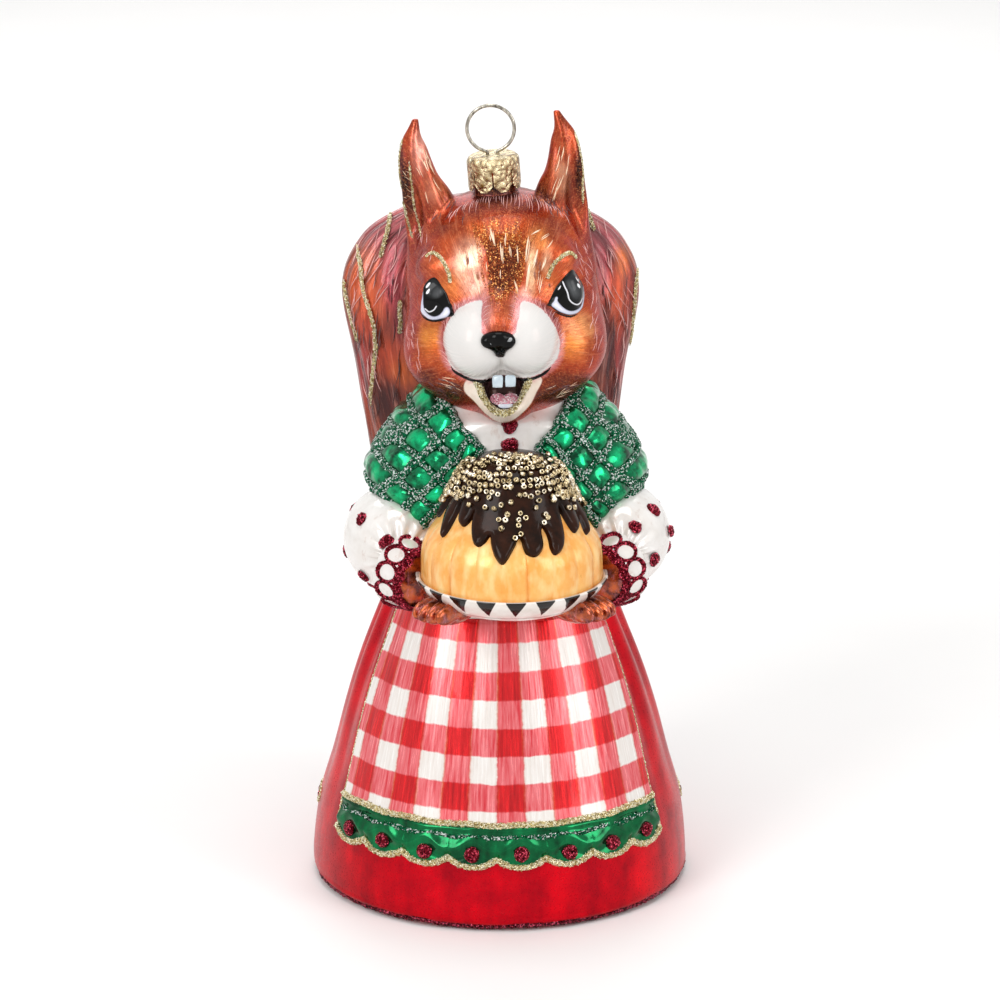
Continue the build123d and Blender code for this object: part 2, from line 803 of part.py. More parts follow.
# Apron cloth with its scalloped border on the skirt's front
apron_top = skirt_height - apron_top_drop
scallop_angle = 2 * apron_half_angle / scallop_count
scallop_radius = radians(scallop_angle) * skirt_hem_radius / 2 * scallop_bulge
scallop_level = apron_bottom - border_depth + scallop_radius
scallop_places = [index + 1 / 2 - scallop_count / 2 for index in range(scallop_count)]
scallop_turns = [apron_turn + scallop_angle * place for place in scallop_places]


def scallops(shrink):
    """The border's slab with its row of radial discs, drawn in by shrink from the scalloped edge."""
    with BuildPart() as made:
        add(sector(apron_turn, apron_half_angle, scallop_level, apron_bottom))
        for turn in scallop_turns:
            with BuildSketch(facing_plane(turn, scallop_level)):
                Circle(scallop_radius - shrink)
            extrude(amount=reach)
        add(sector(apron_turn, apron_half_angle, 0, apron_bottom), mode=Mode.INTERSECT)
    return made.part


apron_skin = skin(0, apron_relief)
trim_skin = skin(apron_relief, apron_relief + trim_relief)
with BuildPart() as apron:
    add(sector(apron_turn, apron_half_angle, apron_bottom, apron_top))
    add(apron_skin, mode=Mode.INTERSECT)
keep(apron.part, "apron", 1)
border_whole = scallops(0)
with BuildPart() as border:
    add(border_whole)
    add(apron_skin, mode=Mode.INTERSECT)
keep(border.part, "apron_border", 1)

# Gold braid: along the top and the scalloped edge of the border, and thin down the apron's sides
edge_half_angle = degrees(edge_line_width / skirt_hem_radius) / 2
with BuildPart() as braid:
    add(border_whole)
    add(scallops(braid_width), mode=Mode.SUBTRACT)
    add(sector(apron_turn, apron_half_angle, apron_bottom - braid_width, apron_bottom))
    for side in (-1, 1):
        edge = apron_turn + side * (apron_half_angle - edge_half_angle)
        add(sector(edge, edge_half_angle, apron_bottom - braid_width, apron_top))
    add(trim_skin, mode=Mode.INTERSECT)
keep(braid.part, "apron_braid")
with BuildPart() as apron_dots:
    for turn in scallop_turns:
        with BuildSketch(facing_plane(turn, apron_dot_height)):
            Circle(apron_dot_radius)
        extrude(amount=reach)
    add(skin(apron_relief, apron_relief + dot_rise), mode=Mode.INTERSECT)
    add(braid.part, mode=Mode.SUBTRACT)
keep(apron_dots.part, "apron_dots")

# Hem line, and the gold loops with red dots on the sides and back
skirt_trim_skin = skin(0, trim_relief)
with BuildPart() as hem_line:
    add(sector(0, 180, hem_line_lift, hem_line_lift + hem_line_width))
    add(skirt_trim_skin, mode=Mode.INTERSECT)
keep(hem_line.part, "hem_line")
sprig_step = (360 - 2 * sprig_first_angle) / (sprig_count - 1)
sprig_planes = [
    facing_plane(sprig_first_angle + index * sprig_step, sprig_height) for index in range(sprig_count)
]
with BuildPart() as sprigs:
    for plane in sprig_planes:
        with BuildSketch(plane):
            with GridLocations(0, 2 * sprig_loop_radius + sprig_loop_gap, 1, sprig_loop_count):
                Circle(sprig_loop_radius)
                Circle(sprig_loop_radius - sprig_loop_width, mode=Mode.SUBTRACT)
        extrude(amount=reach)
    add(skirt_trim_skin, mode=Mode.INTERSECT)
keep(sprigs.part, "skirt_sprigs")
with BuildPart() as sprig_dots:
    for plane in sprig_planes:
        with BuildSketch(plane):
            with GridLocations(0, 2 * sprig_loop_radius + sprig_loop_gap, 1, sprig_loop_count):
                Circle(sprig_dot_radius)
        extrude(amount=reach)
    add(skirt_trim_skin, mode=Mode.INTERSECT)
keep(sprig_dots.part, "sprig_dots")

# Crown cap: a sheet-metal cup with petals, pushed over the neck until it lies on the rim
cap_top = neck_rim_lift + neck_seat_gap + cap_sheet
cap_plane = head_plane.offset(cap_top)
with BuildPart() as crown_cap:
    with Locations(cap_plane.location):
        Cylinder(cap_radius, cap_height, align=(Align.CENTER, Align.CENTER, Align.MAX))
    fillet(crown_cap.faces().sort_by(Axis(cap_plane.origin, cap_plane.z_dir))[-1].edges(), cap_shoulder)
    offset(amount=-cap_sheet, openings=crown_cap.faces().sort_by(Axis(cap_plane.origin, cap_plane.z_dir))[0])
    with Locations(cap_plane.offset(-cap_height).location):
        with PolarLocations(0, petal_count):
            Box(
                reach,
                petal_slit,
                petal_slit_height,
                align=(Align.MIN, Align.CENTER, Align.MIN),
                mode=Mode.SUBTRACT,
            )
            Box(
                reach,
                petal_notch,
                petal_notch,
                rotation=(45, 0, 0),
                align=(Align.MIN, Align.CENTER, Align.CENTER),
                mode=Mode.SUBTRACT,
            )
    with Locations(cap_plane.location):
        with GridLocations(2 * leg_side, 0, 2, 1):
            Cylinder(wire_radius + wire_hole_clearance, cap_height, mode=Mode.SUBTRACT)
keep(crown_cap.part, "crown_cap", 1)

# Hanging wire: one length bent into a loop, with two springy legs that go through the cap into the neck
bend_side = leg_side + loop_neck_bend
bend_drop = ((loop_radius + loop_neck_bend) ** 2 - bend_side**2) ** (1 / 2)
bend_angle = degrees(atan2(-bend_drop, bend_side))
leg_top = loop_lift - bend_drop
leg_levels = (
    cap_top - leg_straight,
    cap_top - leg_straight - leg_flare,
    cap_top - leg_straight - leg_flare - leg_tail,
)
with BuildPart() as hanger:
    with BuildLine(Plane(head_plane.origin, x_dir=head_plane.x_dir, z_dir=-head_plane.y_dir)) as wire_line:
        FilletPolyline(
            (leg_side, leg_top),
            (leg_side, leg_levels[0]),
            (leg_spread, leg_levels[1]),
            (leg_spread, leg_levels[2]),
            radius=leg_bend,
        )
        CenterArc((bend_side, leg_top), loop_neck_bend, 180, bend_angle)
        CenterArc((0, loop_lift), loop_radius, bend_angle, 180 - 2 * bend_angle)
        CenterArc((-bend_side, leg_top), loop_neck_bend, 0, -bend_angle)
        FilletPolyline(
            (-leg_side, leg_top),
            (-leg_side, leg_levels[0]),
            (-leg_spread, leg_levels[1]),
            (-leg_spread, leg_levels[2]),
            radius=leg_bend,
        )
    wire_path = wire_line.wires()[0]
    with BuildSketch(Plane(wire_path @ 0, z_dir=wire_path % 0)):
        Circle(wire_radius)
    sweep(path=wire_path)
keep(hanger.part, "hanger_wire", 1)
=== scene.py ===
"""Looks of the blown-glass squirrel ornament: lacquered glass, enamel, glitter, beads and the metal crown cap.

Shapes are worked out in millimetres, in the same frame as the solids: +Z up, the figure faces -Y, and its left side
is +X. A place that follows the photograph is named by its pixel in a frame of 1000 x 1000 and cast onto the surface.
"""
import math

import bpy
import numpy as np
from mathutils import Matrix


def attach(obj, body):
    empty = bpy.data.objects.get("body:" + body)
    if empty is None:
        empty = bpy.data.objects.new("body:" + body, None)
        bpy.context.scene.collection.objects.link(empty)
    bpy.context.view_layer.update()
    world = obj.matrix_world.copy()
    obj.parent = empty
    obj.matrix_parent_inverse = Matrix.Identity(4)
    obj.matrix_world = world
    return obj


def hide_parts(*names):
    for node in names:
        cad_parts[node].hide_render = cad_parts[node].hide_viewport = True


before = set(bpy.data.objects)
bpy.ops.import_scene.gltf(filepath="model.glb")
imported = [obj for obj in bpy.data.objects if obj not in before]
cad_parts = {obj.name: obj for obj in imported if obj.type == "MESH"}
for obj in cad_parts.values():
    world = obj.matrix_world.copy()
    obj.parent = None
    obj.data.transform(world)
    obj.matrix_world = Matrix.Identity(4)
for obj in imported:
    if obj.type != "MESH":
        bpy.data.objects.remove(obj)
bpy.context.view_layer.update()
MM = 0.001
rng = np.random.default_rng(11)

# Camera: lengths in millimetres, angles in degrees, and focal length in pixels of the frame
CAM_DISTANCE = 1100.0
CAM_LIFT = 17.5
CAM_TURN = -2.5
CAM_AIM = np.array([0.0, 0.0, 77.7])
CAM_FOCAL = 5500.0
FRAME_PX = 1000.0
PX_PER_MM = 5.1


def unit(v):
    v = np.asarray(v, float)
    return v / np.maximum(np.linalg.norm(v, axis=-1, keepdims=True), 1e-12)


def away(degrees_round):
    """Directions away from the upright axis, counted from the front towards +X."""
    a = np.radians(degrees_round)
    return np.stack([np.sin(a), -np.cos(a), np.zeros_like(a)], -1)


lift = math.radians(CAM_LIFT)
CAM_AHEAD = -away(CAM_TURN) * math.cos(lift) - np.array([0, 0, math.sin(lift)])
CAM_AT = CAM_AIM - CAM_DISTANCE * CAM_AHEAD
CAM_RIGHT = unit(np.cross(CAM_AHEAD, (0, 0, 1)))
CAM_UP = np.cross(CAM_RIGHT, CAM_AHEAD)


def to_pixel(points):
    d = points - CAM_AT
    flat = np.stack([d @ CAM_RIGHT, -(d @ CAM_UP)], -1)
    return FRAME_PX / 2 + CAM_FOCAL * flat / (d @ CAM_AHEAD)[..., None]


def cast(pixels, field, steps=260, reach=75.0):
    """First points where the rays through pixels meet field's surface. A ray that misses gives nan."""
    off = np.atleast_2d(np.asarray(pixels, float)) - FRAME_PX / 2
    d = unit(CAM_AHEAD * CAM_FOCAL + np.outer(off[:, 0], CAM_RIGHT) - np.outer(off[:, 1], CAM_UP))
    t = np.linspace(CAM_DISTANCE - reach, CAM_DISTANCE + reach, steps)
    walk = CAM_AT + d[:, None, :] * t[None, :, None]
    inside = field(walk.reshape(-1, 3)).reshape(len(d), steps) < 0
    first = inside.argmax(1)
    low, high = t[np.maximum(first - 1, 0)], t[first]
    for _ in range(22):
        mid = (low + high) / 2
        deep = field(CAM_AT + d * mid[:, None]) < 0
        high = np.where(deep, mid, high)
        low = np.where(deep, low, mid)
    hit = inside.any(1) & (first > 0)
    return np.where(hit[:, None], CAM_AT + d * high[:, None], np.nan)


def slope(field, p, h=0.02):
    """Outward slope of a field at points."""
    return np.stack([field(p + h * e) - field(p - h * e) for e in np.eye(3)], -1) / (2 * h)


# Mesh helpers. A mesh is a pair of points and faces, where faces are one array or a list of arrays


def build(name, verts, faces, material, attributes=None, smooth=True):
    """A mesh object from points in millimetres."""
    me = bpy.data.meshes.new(name)
    faces = [np.asarray(f, np.int32) for f in (faces if isinstance(faces, list) else [faces])]
    me.vertices.add(len(verts))
    me.vertices.foreach_set("co", (np.asarray(verts) * MM).astype(np.float32).ravel())
    corners = np.concatenate([f.ravel() for f in faces])
    counts = np.concatenate([np.full(len(f), f.shape[1]) for f in faces])
    me.loops.add(len(corners))
    me.loops.foreach_set("vertex_index", corners)
    me.polygons.add(len(counts))
    me.polygons.foreach_set("loop_start", np.concatenate([[0], np.cumsum(counts)[:-1]]).astype(np.int32))
    me.update(calc_edges=True)
    kinds = {1: ("FLOAT", "value"), 3: ("FLOAT_VECTOR", "vector"), 4: ("FLOAT_COLOR", "color")}
    for key, value in (attributes or {}).items():
        value = np.asarray(value, np.float32).reshape(len(verts), -1)
        kind, field = kinds[value.shape[1]]
        me.attributes.new(key, kind, "POINT").data.foreach_set(field, value.ravel())
    me.validate()
    if smooth:
        me.shade_smooth()
    me.materials.append(material)
    obj = bpy.data.objects.new(name, me)
    bpy.context.scene.collection.objects.link(obj)
    return obj


def glass(name, mesh, material, slot, *nodes, **attributes):
    """A piece that rides on the glass, with its material, in place of the solids that it replaces. The slot is not
    used.
    """
    obj = build(name, *mesh, material, attributes)
    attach(obj, "glass")
    if nodes:
        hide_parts(*nodes)


def grid_faces(rows, cols, wrap=False):
    """Quads of a grid of points, row by row. With wrap, each row closes on itself."""
    r = np.arange(rows - 1)[:, None]
    c = np.arange(cols if wrap else cols - 1)[None, :]
    n = (c + 1) % cols
    return np.stack([r * cols + c, r * cols + n, (r + 1) * cols + n, (r + 1) * cols + c], -1).reshape(-1, 4)


def sheet(points, wrap=False):
    """Mesh of a grid of points."""
    return points.reshape(-1, 3), grid_faces(*points.shape[:2], wrap)


def fan(hub, start, count):
    """Triangles from a hub point to a closed run of points."""
    c = np.arange(count)
    return np.stack([np.full(count, hub), start + c, start + (c + 1) % count], -1)


def pick_faces(verts, faces, chosen, **attributes):
    """The mesh with only its chosen faces and their points, and the attributes of those points."""
    faces = faces[chosen]
    used = np.unique(faces)
    new = np.full(len(verts), -1)
    new[used] = np.arange(len(used))
    return (verts[used], new[faces]), {k: v[used] for k, v in attributes.items()}


def clip_mesh(verts, faces, inside, **attributes):
    """The mesh with only the faces whose corners all lie inside."""
    return pick_faces(verts, faces, inside.ravel()[faces].all(1), **attributes)


def glass_halves(name, mesh, material, slot, node, **attributes):
    """A left and a right piece, parted at the figure's middle. Both names hold a place for the side's name."""
    left = mesh[0][mesh[1]].mean(1)[:, 0] > SIDE
    for side, chosen in (("left", left), ("right", ~left)):
        half, held = pick_faces(*mesh, chosen, **attributes)
        glass(name.format(side), half, material, slot, node.format(side), **held)


def merge(meshes):
    """Joins meshes into one. All their triangles come first, then all their quads."""
    verts, kinds, n = [], {3: [], 4: []}, 0
    for v, faces in meshes:
        for f in faces if isinstance(faces, list) else [faces]:
            kinds[f.shape[1]].append(f + n)
        verts.append(v)
        n += len(v)
    return np.vstack(verts), [np.vstack(f) for f in kinds.values() if f]


def net(field, low, high, step):
    """Surface net of a field inside a box: its zero level in quads, settled onto the surface."""
    axes = [np.arange(a, b + step, step) for a, b in zip(low, high)]
    pts = np.stack(np.meshgrid(*axes, indexing="ij"), -1).reshape(-1, 3)
    f = np.concatenate([field(part) for part in np.array_split(pts, 16)]).reshape([len(a) for a in axes])
    neg = f < 0
    cells = tuple(n - 1 for n in f.shape)
    total, count = np.zeros(cells + (3,)), np.zeros(cells)

    def at(array, c):
        return array[tuple(slice(i, i + n) for i, n in zip(c, cells))]

    for a in np.ndindex(2, 2, 2):
        for axis in range(3):
            if a[axis]:
                continue
            b = tuple(v + (n == axis) for n, v in enumerate(a))
            fa, fb = at(f, a), at(f, b)
            cross = at(neg, a) != at(neg, b)
            t = np.where(cross, fa / np.where(cross, fa - fb, 1), 0)
            for n in range(3):
                total[..., n] += np.where(cross, a[n] + (t if n == axis else 0), 0)
            count += cross
    has = count > 0
    index = np.full(cells, -1)
    index[has] = np.arange(has.sum())
    verts = np.array(low) + step * (np.argwhere(has) + total[has] / count[has][:, None])
    quads = []
    for axis in range(3):
        u, v = (axis + 1) % 3, (axis + 2) % 3
        a = [slice(1, -1)] * 3
        b = list(a)
        a[axis] = slice(0, -1)
        b[axis] = slice(1, None)
        change = neg[tuple(a)] != neg[tuple(b)]
        start = np.argwhere(change) + (np.arange(3) != axis)
        ring = []
        for du, dv in ((1, 1), (0, 1), (0, 0), (1, 0)):
            c = start.copy()
            c[:, u] -= du
            c[:, v] -= dv
            ring.append(index[tuple(c.T)])
        ring = np.stack(ring, 1)
        turned = ~neg[tuple(a)][change]
        ring[turned] = ring[turned][:, ::-1]
        quads.append(ring)
    quads = np.concatenate(quads)
    for _ in range(3):
        g = slope(field, verts)
        verts = verts - g * (field(verts) / np.maximum((g * g).sum(-1), 1e-6))[:, None]
    return verts, quads[(quads >= 0).all(1)]


# Fields and curves


def smooth(x, low, high):
    """Smooth step from 0 at low to 1 at high."""
    t = np.clip((x - low) / (high - low), 0, 1)
    return t * t * (3 - 2 * t)


def smin(a, b, k):
    """Smooth minimum of two fields."""
    h = np.clip(0.5 + 0.5 * (b - a) / k, 0, 1)
    return b + (a - b) * h - k * h * (1 - h)


def ellipsoid(p, centre, radii):
    """Distance-like field of an ellipsoid, or of an ellipse in a plane."""
    q = (p - np.array(centre)) / np.array(radii)
    r = np.linalg.norm(q, axis=-1)
    return r * (r - 1) / np.maximum(np.linalg.norm(q / np.array(radii), axis=-1), 1e-9)


def oval(x, y, w, d):
    """The same for an ellipse whose half-widths vary from point to point."""
    k = np.hypot(x / w, y / d)
    return k * (k - 1) / np.maximum(np.hypot(x / w**2, y / d**2), 1e-9)


def wobble(p, scale, seed):
    """A smooth wavering, about -1 to 1, that depends on place alone."""
    x, y, z = (p[..., i] * scale + seed * (1.3 + i) for i in range(3))
    waves = np.sin(x + 1.7 * np.sin(y * 1.1 + z)) + np.sin(y * 1.3 + 1.1 * np.sin(z * 0.9 + x))
    return (waves + np.sin(z * 1.2 + np.sin(x * 0.8))) / 3


def curve(points, count, closed=False):
    """Even samples of a smooth curve through points."""
    p = np.asarray(points, float)
    n = len(p)
    if closed:
        ctrl = p[(np.arange(n)[:, None] + np.arange(-1, 3)) % n]
    else:
        ext = np.vstack([2 * p[0] - p[1], p, 2 * p[-1] - p[-2]])
        ctrl = np.stack([ext[i : i + n - 1] for i in range(4)], 1)
    t = np.linspace(0, 1, 24, endpoint=False)[None, :, None]
    a, b, c, d = (ctrl[:, i][:, None, :] for i in range(4))
    fine = 0.5 * (2 * b + (c - a) * t + (2 * a - 5 * b + 4 * c - d) * t**2 + (3 * b - a - 3 * c + d) * t**3)
    fine = fine.reshape(-1, p.shape[1])
    fine = np.vstack([fine, fine[:1] if closed else p[-1:]])
    s = np.concatenate([[0], np.cumsum(np.linalg.norm(np.diff(fine, axis=0), axis=1))])
    want = np.linspace(0, s[-1], count, endpoint=not closed)
    return np.stack([np.interp(want, s, fine[:, i]) for i in range(p.shape[1])], -1)


def sections(rows):
    """Smooth functions of the first column, for a table of sections."""
    fine = curve(rows, 600)
    fine = fine[np.argsort(fine[:, 0], kind="stable")]
    return lambda t: [np.interp(t, fine[:, 0], fine[:, i]) for i in range(1, fine.shape[1])]


def line_distance(px, line, closed=False):
    """Distance from points to a line in a plane: negative inside it if it is closed."""
    best = np.full(len(px), np.inf)
    odd = np.zeros(len(px), bool)
    for p, q in zip(line, np.roll(line, -1, 0) if closed else line[1:]):
        e, w = q - p, px - p
        t = np.clip((w @ e) / max(e @ e, 1e-9), 0, 1)
        best = np.minimum(best, ((w - t[:, None] * e) ** 2).sum(1))
        if closed:
            above = (p[1] > px[:, 1]) != (q[1] > px[:, 1])
            with np.errstate(divide="ignore", invalid="ignore"):
                odd ^= above & (px[:, 0] < e[0] * (px[:, 1] - p[1]) / e[1] + p[0])
    return np.where(odd, -1, 1) * np.sqrt(best)


# Material helpers


def rgb(code):
    """Linear colour of a hex code."""
    c = [int(code[i : i + 2], 16) / 255 for i in (0, 2, 4)]
    return tuple(v / 12.92 if v <= 0.04045 else ((v + 0.055) / 1.055) ** 2.4 for v in c) + (1.0,)


class Paint:
    """A material with a Principled shader, and short ways to add nodes. A colour may be given as its hex code."""

    def __init__(self, name, **sockets):
        self.mat = bpy.data.materials.new(name)
        self.mat.use_nodes = True
        self.tree = self.mat.node_tree
        self.bsdf = self.tree.nodes["Principled BSDF"]
        self.put(self.bsdf, sockets)

    def put(self, node, sockets):
        """Sets or links inputs, which are given by name or by number."""
        for key, value in sockets.items():
            socket = node.inputs[key.replace("_", " ") if isinstance(key, str) else key]
            if isinstance(value, bpy.types.NodeSocket):
                self.tree.links.new(value, socket)
            else:
                socket.default_value = rgb(value) if isinstance(value, str) else value
        return node

    def add(self, kind, settings=None, **sockets):
        node = self.tree.nodes.new("ShaderNode" + kind)
        for key, value in (settings or {}).items():
            setattr(node, key, value)
        return self.put(node, sockets)

    def held(self, name, kind="Fac"):
        """An attribute of the mesh, as its Fac, Vector or Color."""
        return self.add("Attribute", {"attribute_name": name}).outputs[kind]

    def spot(self):
        """Object coordinates in millimetres."""
        at = self.add("TexCoord").outputs["Object"]
        return self.add("VectorMath", {"operation": "SCALE"}, Vector=at, Scale=1 / MM).outputs[0]

    def noise(self, scale, detail=3.0, rough=0.55, at=None, stretch=None, distortion=0.0):
        at = at or self.spot()
        if stretch:
            at = self.put(self.add("VectorMath", {"operation": "MULTIPLY"}), {0: at, 1: stretch}).outputs[0]
        sockets = dict(Scale=scale, Detail=detail, Roughness=rough, Distortion=distortion, Vector=at)
        return self.add("TexNoise", **sockets).outputs["Fac"]

    def grains(self, scale):
        """Packed grains: three random tones that each grain holds all over, and the distance from its middle."""
        cells = self.add("TexVoronoi", {"feature": "F1"}, Scale=scale, Vector=self.spot())
        tones = self.add("SeparateColor", Color=cells.outputs["Color"])
        return *tones.outputs, cells.outputs["Distance"]

    def math(self, operation, *values):
        return self.put(self.add("Math", {"operation": operation}), dict(enumerate(values))).outputs[0]

    def plus(self, a, b):
        return self.math("ADD", a, b)

    def minus(self, a, b):
        return self.math("SUBTRACT", a, b)

    def times(self, a, b):
        return self.math("MULTIPLY", a, b)

    def band(self, value, low, high, out_low=0.0, out_high=1.0):
        """value mapped from low..high to out_low..out_high, clamped."""
        sockets = dict(Value=value, From_Min=low, From_Max=high, To_Min=out_low, To_Max=out_high)
        return self.add("MapRange", **sockets).outputs[0]

    def mix(self, factor, a, b, blend="MIX"):
        node = self.add("Mix", {"data_type": "RGBA", "blend_type": blend, "clamp_factor": True})
        return self.put(node, {0: factor, 6: a, 7: b}).outputs[2]

    def bump(self, height, strength, distance):
        return self.add("Bump", Strength=strength, Distance=distance, Height=height).outputs[0]

    def finish(self, colour, gloss_by, smoothest, roughest, normal, **sockets):
        """Sets colour, relief and a roughness that follows a noise, and gives the material."""
        roughness = self.band(gloss_by, 0.3, 0.7, smoothest, roughest)
        self.put(self.bsdf, dict(Base_Color=colour, Roughness=roughness, Normal=normal, **sockets))
        return self.mat


def clear_coat(weight, roughness=0.05, specular=0.3, **sockets):
    """Sockets of a glassy coat."""
    return dict(Coat_Weight=weight, Coat_Roughness=roughness, Specular_IOR_Level=specular, **sockets)


def lacquer(name, deep, bright, metal, rough, grain, coat, strokes=(1, 1, 0.25), dimple=0.12, gloss=0.3):
    """Clear coloured lacquer over silvered glass: mottled in two tones, with faint strokes and a glassy coat."""
    p = Paint(name, Metallic=metal, **clear_coat(coat, 0.04, gloss))
    cloud = p.noise(0.16, 4.0, 0.6)
    streak = p.noise(grain, 5.0, 0.6, stretch=strokes)
    colour = p.mix(p.band(p.times(p.plus(cloud, streak), 0.5), 0.36, 0.66), deep, bright)
    normal = p.bump(p.noise(0.5, 2.0, 0.5), dimple, 0.0003)
    return p.finish(colour, p.noise(2.2, 3.0, 0.6), rough * 0.8, rough * 1.3, normal)


def enamel(name, dark, light, rough=0.2, gloss=0.5):
    """Opaque gloss enamel, a little uneven."""
    p = Paint(name, **clear_coat(gloss, 0.05, gloss))
    tone = p.mix(p.band(p.noise(0.35, 4.0, 0.6), 0.35, 0.7), dark, light)
    return p.finish(tone, p.noise(1.5), rough * 0.8, rough * 1.4, p.bump(p.noise(0.9, 2.0), 0.1, 0.0002))


def glitter(name, dark, mid, light, scale=3.4, metal=0.9, bright=0.62, gloss=0.6):
    """Packed glitter: every grain is a cell with its own tone and its own tilt."""
    p = Paint(name, Specular_IOR_Level=gloss, Metallic=metal)
    shade, spark, tilt, distance = p.grains(scale)
    colour = p.mix(p.band(spark, bright, bright + 0.14), p.mix(p.band(shade, 0.0, 0.55), dark, mid), light)
    normal = p.bump(p.plus(tilt, p.times(distance, -1.5)), 0.9, 0.0003)
    p.put(p.bsdf, dict(Base_Color=colour, Roughness=p.band(tilt, 0.0, 1.0, 0.12, 0.4), Normal=normal))
    return p.mat


# Trims


def strip(path, normals, width, rise, across=7, jitter=0.0, sink=0.15, ends=0.0, closed=False):
    """A half-round strip along a path on a surface. ends is the share of the length that tapers at each end."""
    n = len(path)
    tangent = unit(np.roll(path, -1, 0) - np.roll(path, 1, 0) if closed else np.gradient(path, axis=0))
    normals = unit(normals)
    side = unit(np.cross(tangent, normals))
    along = np.linspace(0, 1, n)
    fade = np.ones(n)
    if ends:
        fade = np.clip(np.minimum(along, 1 - along) / ends, 0.02, 1) ** 0.6
    s = np.linspace(-1, 1, across)
    height = rise * np.sqrt(np.maximum(1 - s**2, 0))[None, :] * fade[:, None] - sink
    wide = s[None, :] * (width / 2 * fade)[:, None]
    v = path[:, None, :] + side[:, None, :] * wide[..., None] + normals[:, None, :] * height[..., None]
    if jitter:
        v = v + rng.normal(0, jitter, v.shape)
    faces = grid_faces(n, across)
    if closed:
        c = np.arange(across - 1)
        last = (n - 1) * across
        faces = np.vstack([faces, np.stack([last + c, last + c + 1, c + 1, c], -1)])
    return v.reshape(-1, 3), faces


def disc_faces(rings, spokes):
    """Faces of a disc whose points are its middle, then ring by ring."""
    return [fan(0, 1, spokes), grid_faces(rings, spokes, True)[:, ::-1] + 1]


def blob(centre, normal, radius, rise, jitter, rings, spokes, wobbly):
    """A glued dot: a rough dome with an uneven edge."""
    normal = unit(normal)
    side = unit(np.cross(normal, (0.21, 0.13, 1.0)))
    up = np.cross(normal, side)
    a = np.linspace(0, 2 * np.pi, spokes, endpoint=False)
    uneven = np.sin(2 * a + rng.uniform(0, 6)) + 0.6 * np.sin(3 * a + rng.uniform(0, 6))
    edge = 1 + wobbly * (uneven + 0.4 * rng.normal(0, 1, spokes))
    flat = side * np.cos(a)[:, None] + up * np.sin(a)[:, None]
    v = [np.array([centre + normal * (rise - 0.1)])]
    for r in np.linspace(0, 1, rings + 1)[1:]:
        height = rise * math.sqrt(max(1 - r**2.4, 0)) - 0.18
        v.append(centre + flat * (radius * r * edge)[:, None] + normal * height)
    v = np.vstack(v)
    v[1:-spokes] += rng.normal(0, jitter, v[1:-spokes].shape)
    return v, disc_faces(rings, spokes)


def blobs(specs):
    return merge([blob(*spec) for spec in specs])


def patch(outline, field, rise, rings=9, power=2.0, sink=0.12, spokes=96, lift=0.0):
    """A domed spot whose outline is drawn in pixels and cast onto a surface, and its points' pixels."""
    edge = curve(outline, spokes, closed=True)
    centre = edge.mean(0)
    s = np.concatenate([np.linspace(0, 0.8, rings)[1:], [0.9, 0.96, 1.0]])
    px = np.vstack([[centre]] + [centre + (edge - centre) * k for k in s])
    points = cast(px, field)
    normals = unit(slope(field, points))
    k = np.concatenate([[0], np.repeat(s, spokes)])
    v = points + normals * (lift + rise * (1 - k**power) ** 0.5 - sink * (k > 0.99))[:, None]
    faces = disc_faces(len(s), spokes)
    if np.cross(v[1] - v[0], v[1 + spokes // 4] - v[0]) @ normals[0] < 0:
        faces = [f[:, ::-1] for f in faces]
    return (v, faces), px


# Skirt: a bell with soft folds, closed by a base that dips under the foot

APRON_TURN = -3.5
APRON_HALF = 61.0
APRON_LOW = 21.5
APRON_TOP = 60.0
APRON_OUT = 0.6
skirt_line = curve(
    [(34.5, 0), (36.9, 0.9), (38, 3.6), (36.78, 15), (34.02, 25.2), (31.27, 36), (28.06, 46.2), (22.7, 60)], 500
)


def skirt_radius(turn, z):
    """Radius of the skirt with its folds, which are deepest at the waist and stop at the hem."""
    a = np.radians(turn - APRON_TURN)
    beside = smooth(np.abs((turn - APRON_TURN + 180) % 360 - 180), 50, 66)
    deep = 0.95 * smooth(z, 8, 52) * (0.25 + 0.75 * beside)
    wave = 0.5 + 0.5 * np.cos(24 * a + 0.9 * np.sin(3 * a) + 0.02 * z)
    base = np.interp(z, skirt_line[:, 1], skirt_line[:, 0])
    return base - deep * (1 - wave**0.8) - 0.12 * (1 + np.sin(5 * a + z / 9))


def on_skirt(turn, z, out=0.0):
    p = away(turn) * (skirt_radius(turn, z) + out)[..., None]
    p[..., 2] = z
    return p


def skirt_path(turn, z, out):
    """Points on the skirt, and its normals there."""
    turn, z = np.broadcast_arrays(np.asarray(turn, float), np.asarray(z, float))
    across = on_skirt(turn + 1.0, z) - on_skirt(turn - 1.0, z)
    up = on_skirt(turn, z + 0.4) - on_skirt(turn, z - 0.4)
    return on_skirt(turn, z, out), unit(np.cross(across, up))


FOOT_ROWS = 12
BASE_R = 33.2
BASE_Z = 0.7
BASE_DOME = 1.2
line = curve(skirt_line, 170)
zz, tt = np.meshgrid(line[:, 1], np.linspace(0, 360, 560, endpoint=False), indexing="ij")
shell = on_skirt(tt, zz)
foot = away(tt[:FOOT_ROWS]) * line[:FOOT_ROWS, 0][:, None, None]
shell[:FOOT_ROWS, :, :2] = foot[..., :2]
base = [away(tt[:1]) * BASE_R * k + [0, 0, BASE_Z + BASE_DOME * (1 - k)] for k in (0.02, 0.3, 0.6, 0.8, 1.0)]
skirt_paint = lacquer(
    "skirt_lacquer", "900014", "dc0218", 0.6, 0.3, 0.14, 0.06, strokes=(1, 1, 0.06), dimple=0.03, gloss=0.1
)
glass("skirt_glass", sheet(np.concatenate([base[-1], shell]), True), skirt_paint, "skirt_glass", "skirt")
glass("skirt_base", sheet(np.concatenate(base), True), skirt_paint, "skirt_glass")

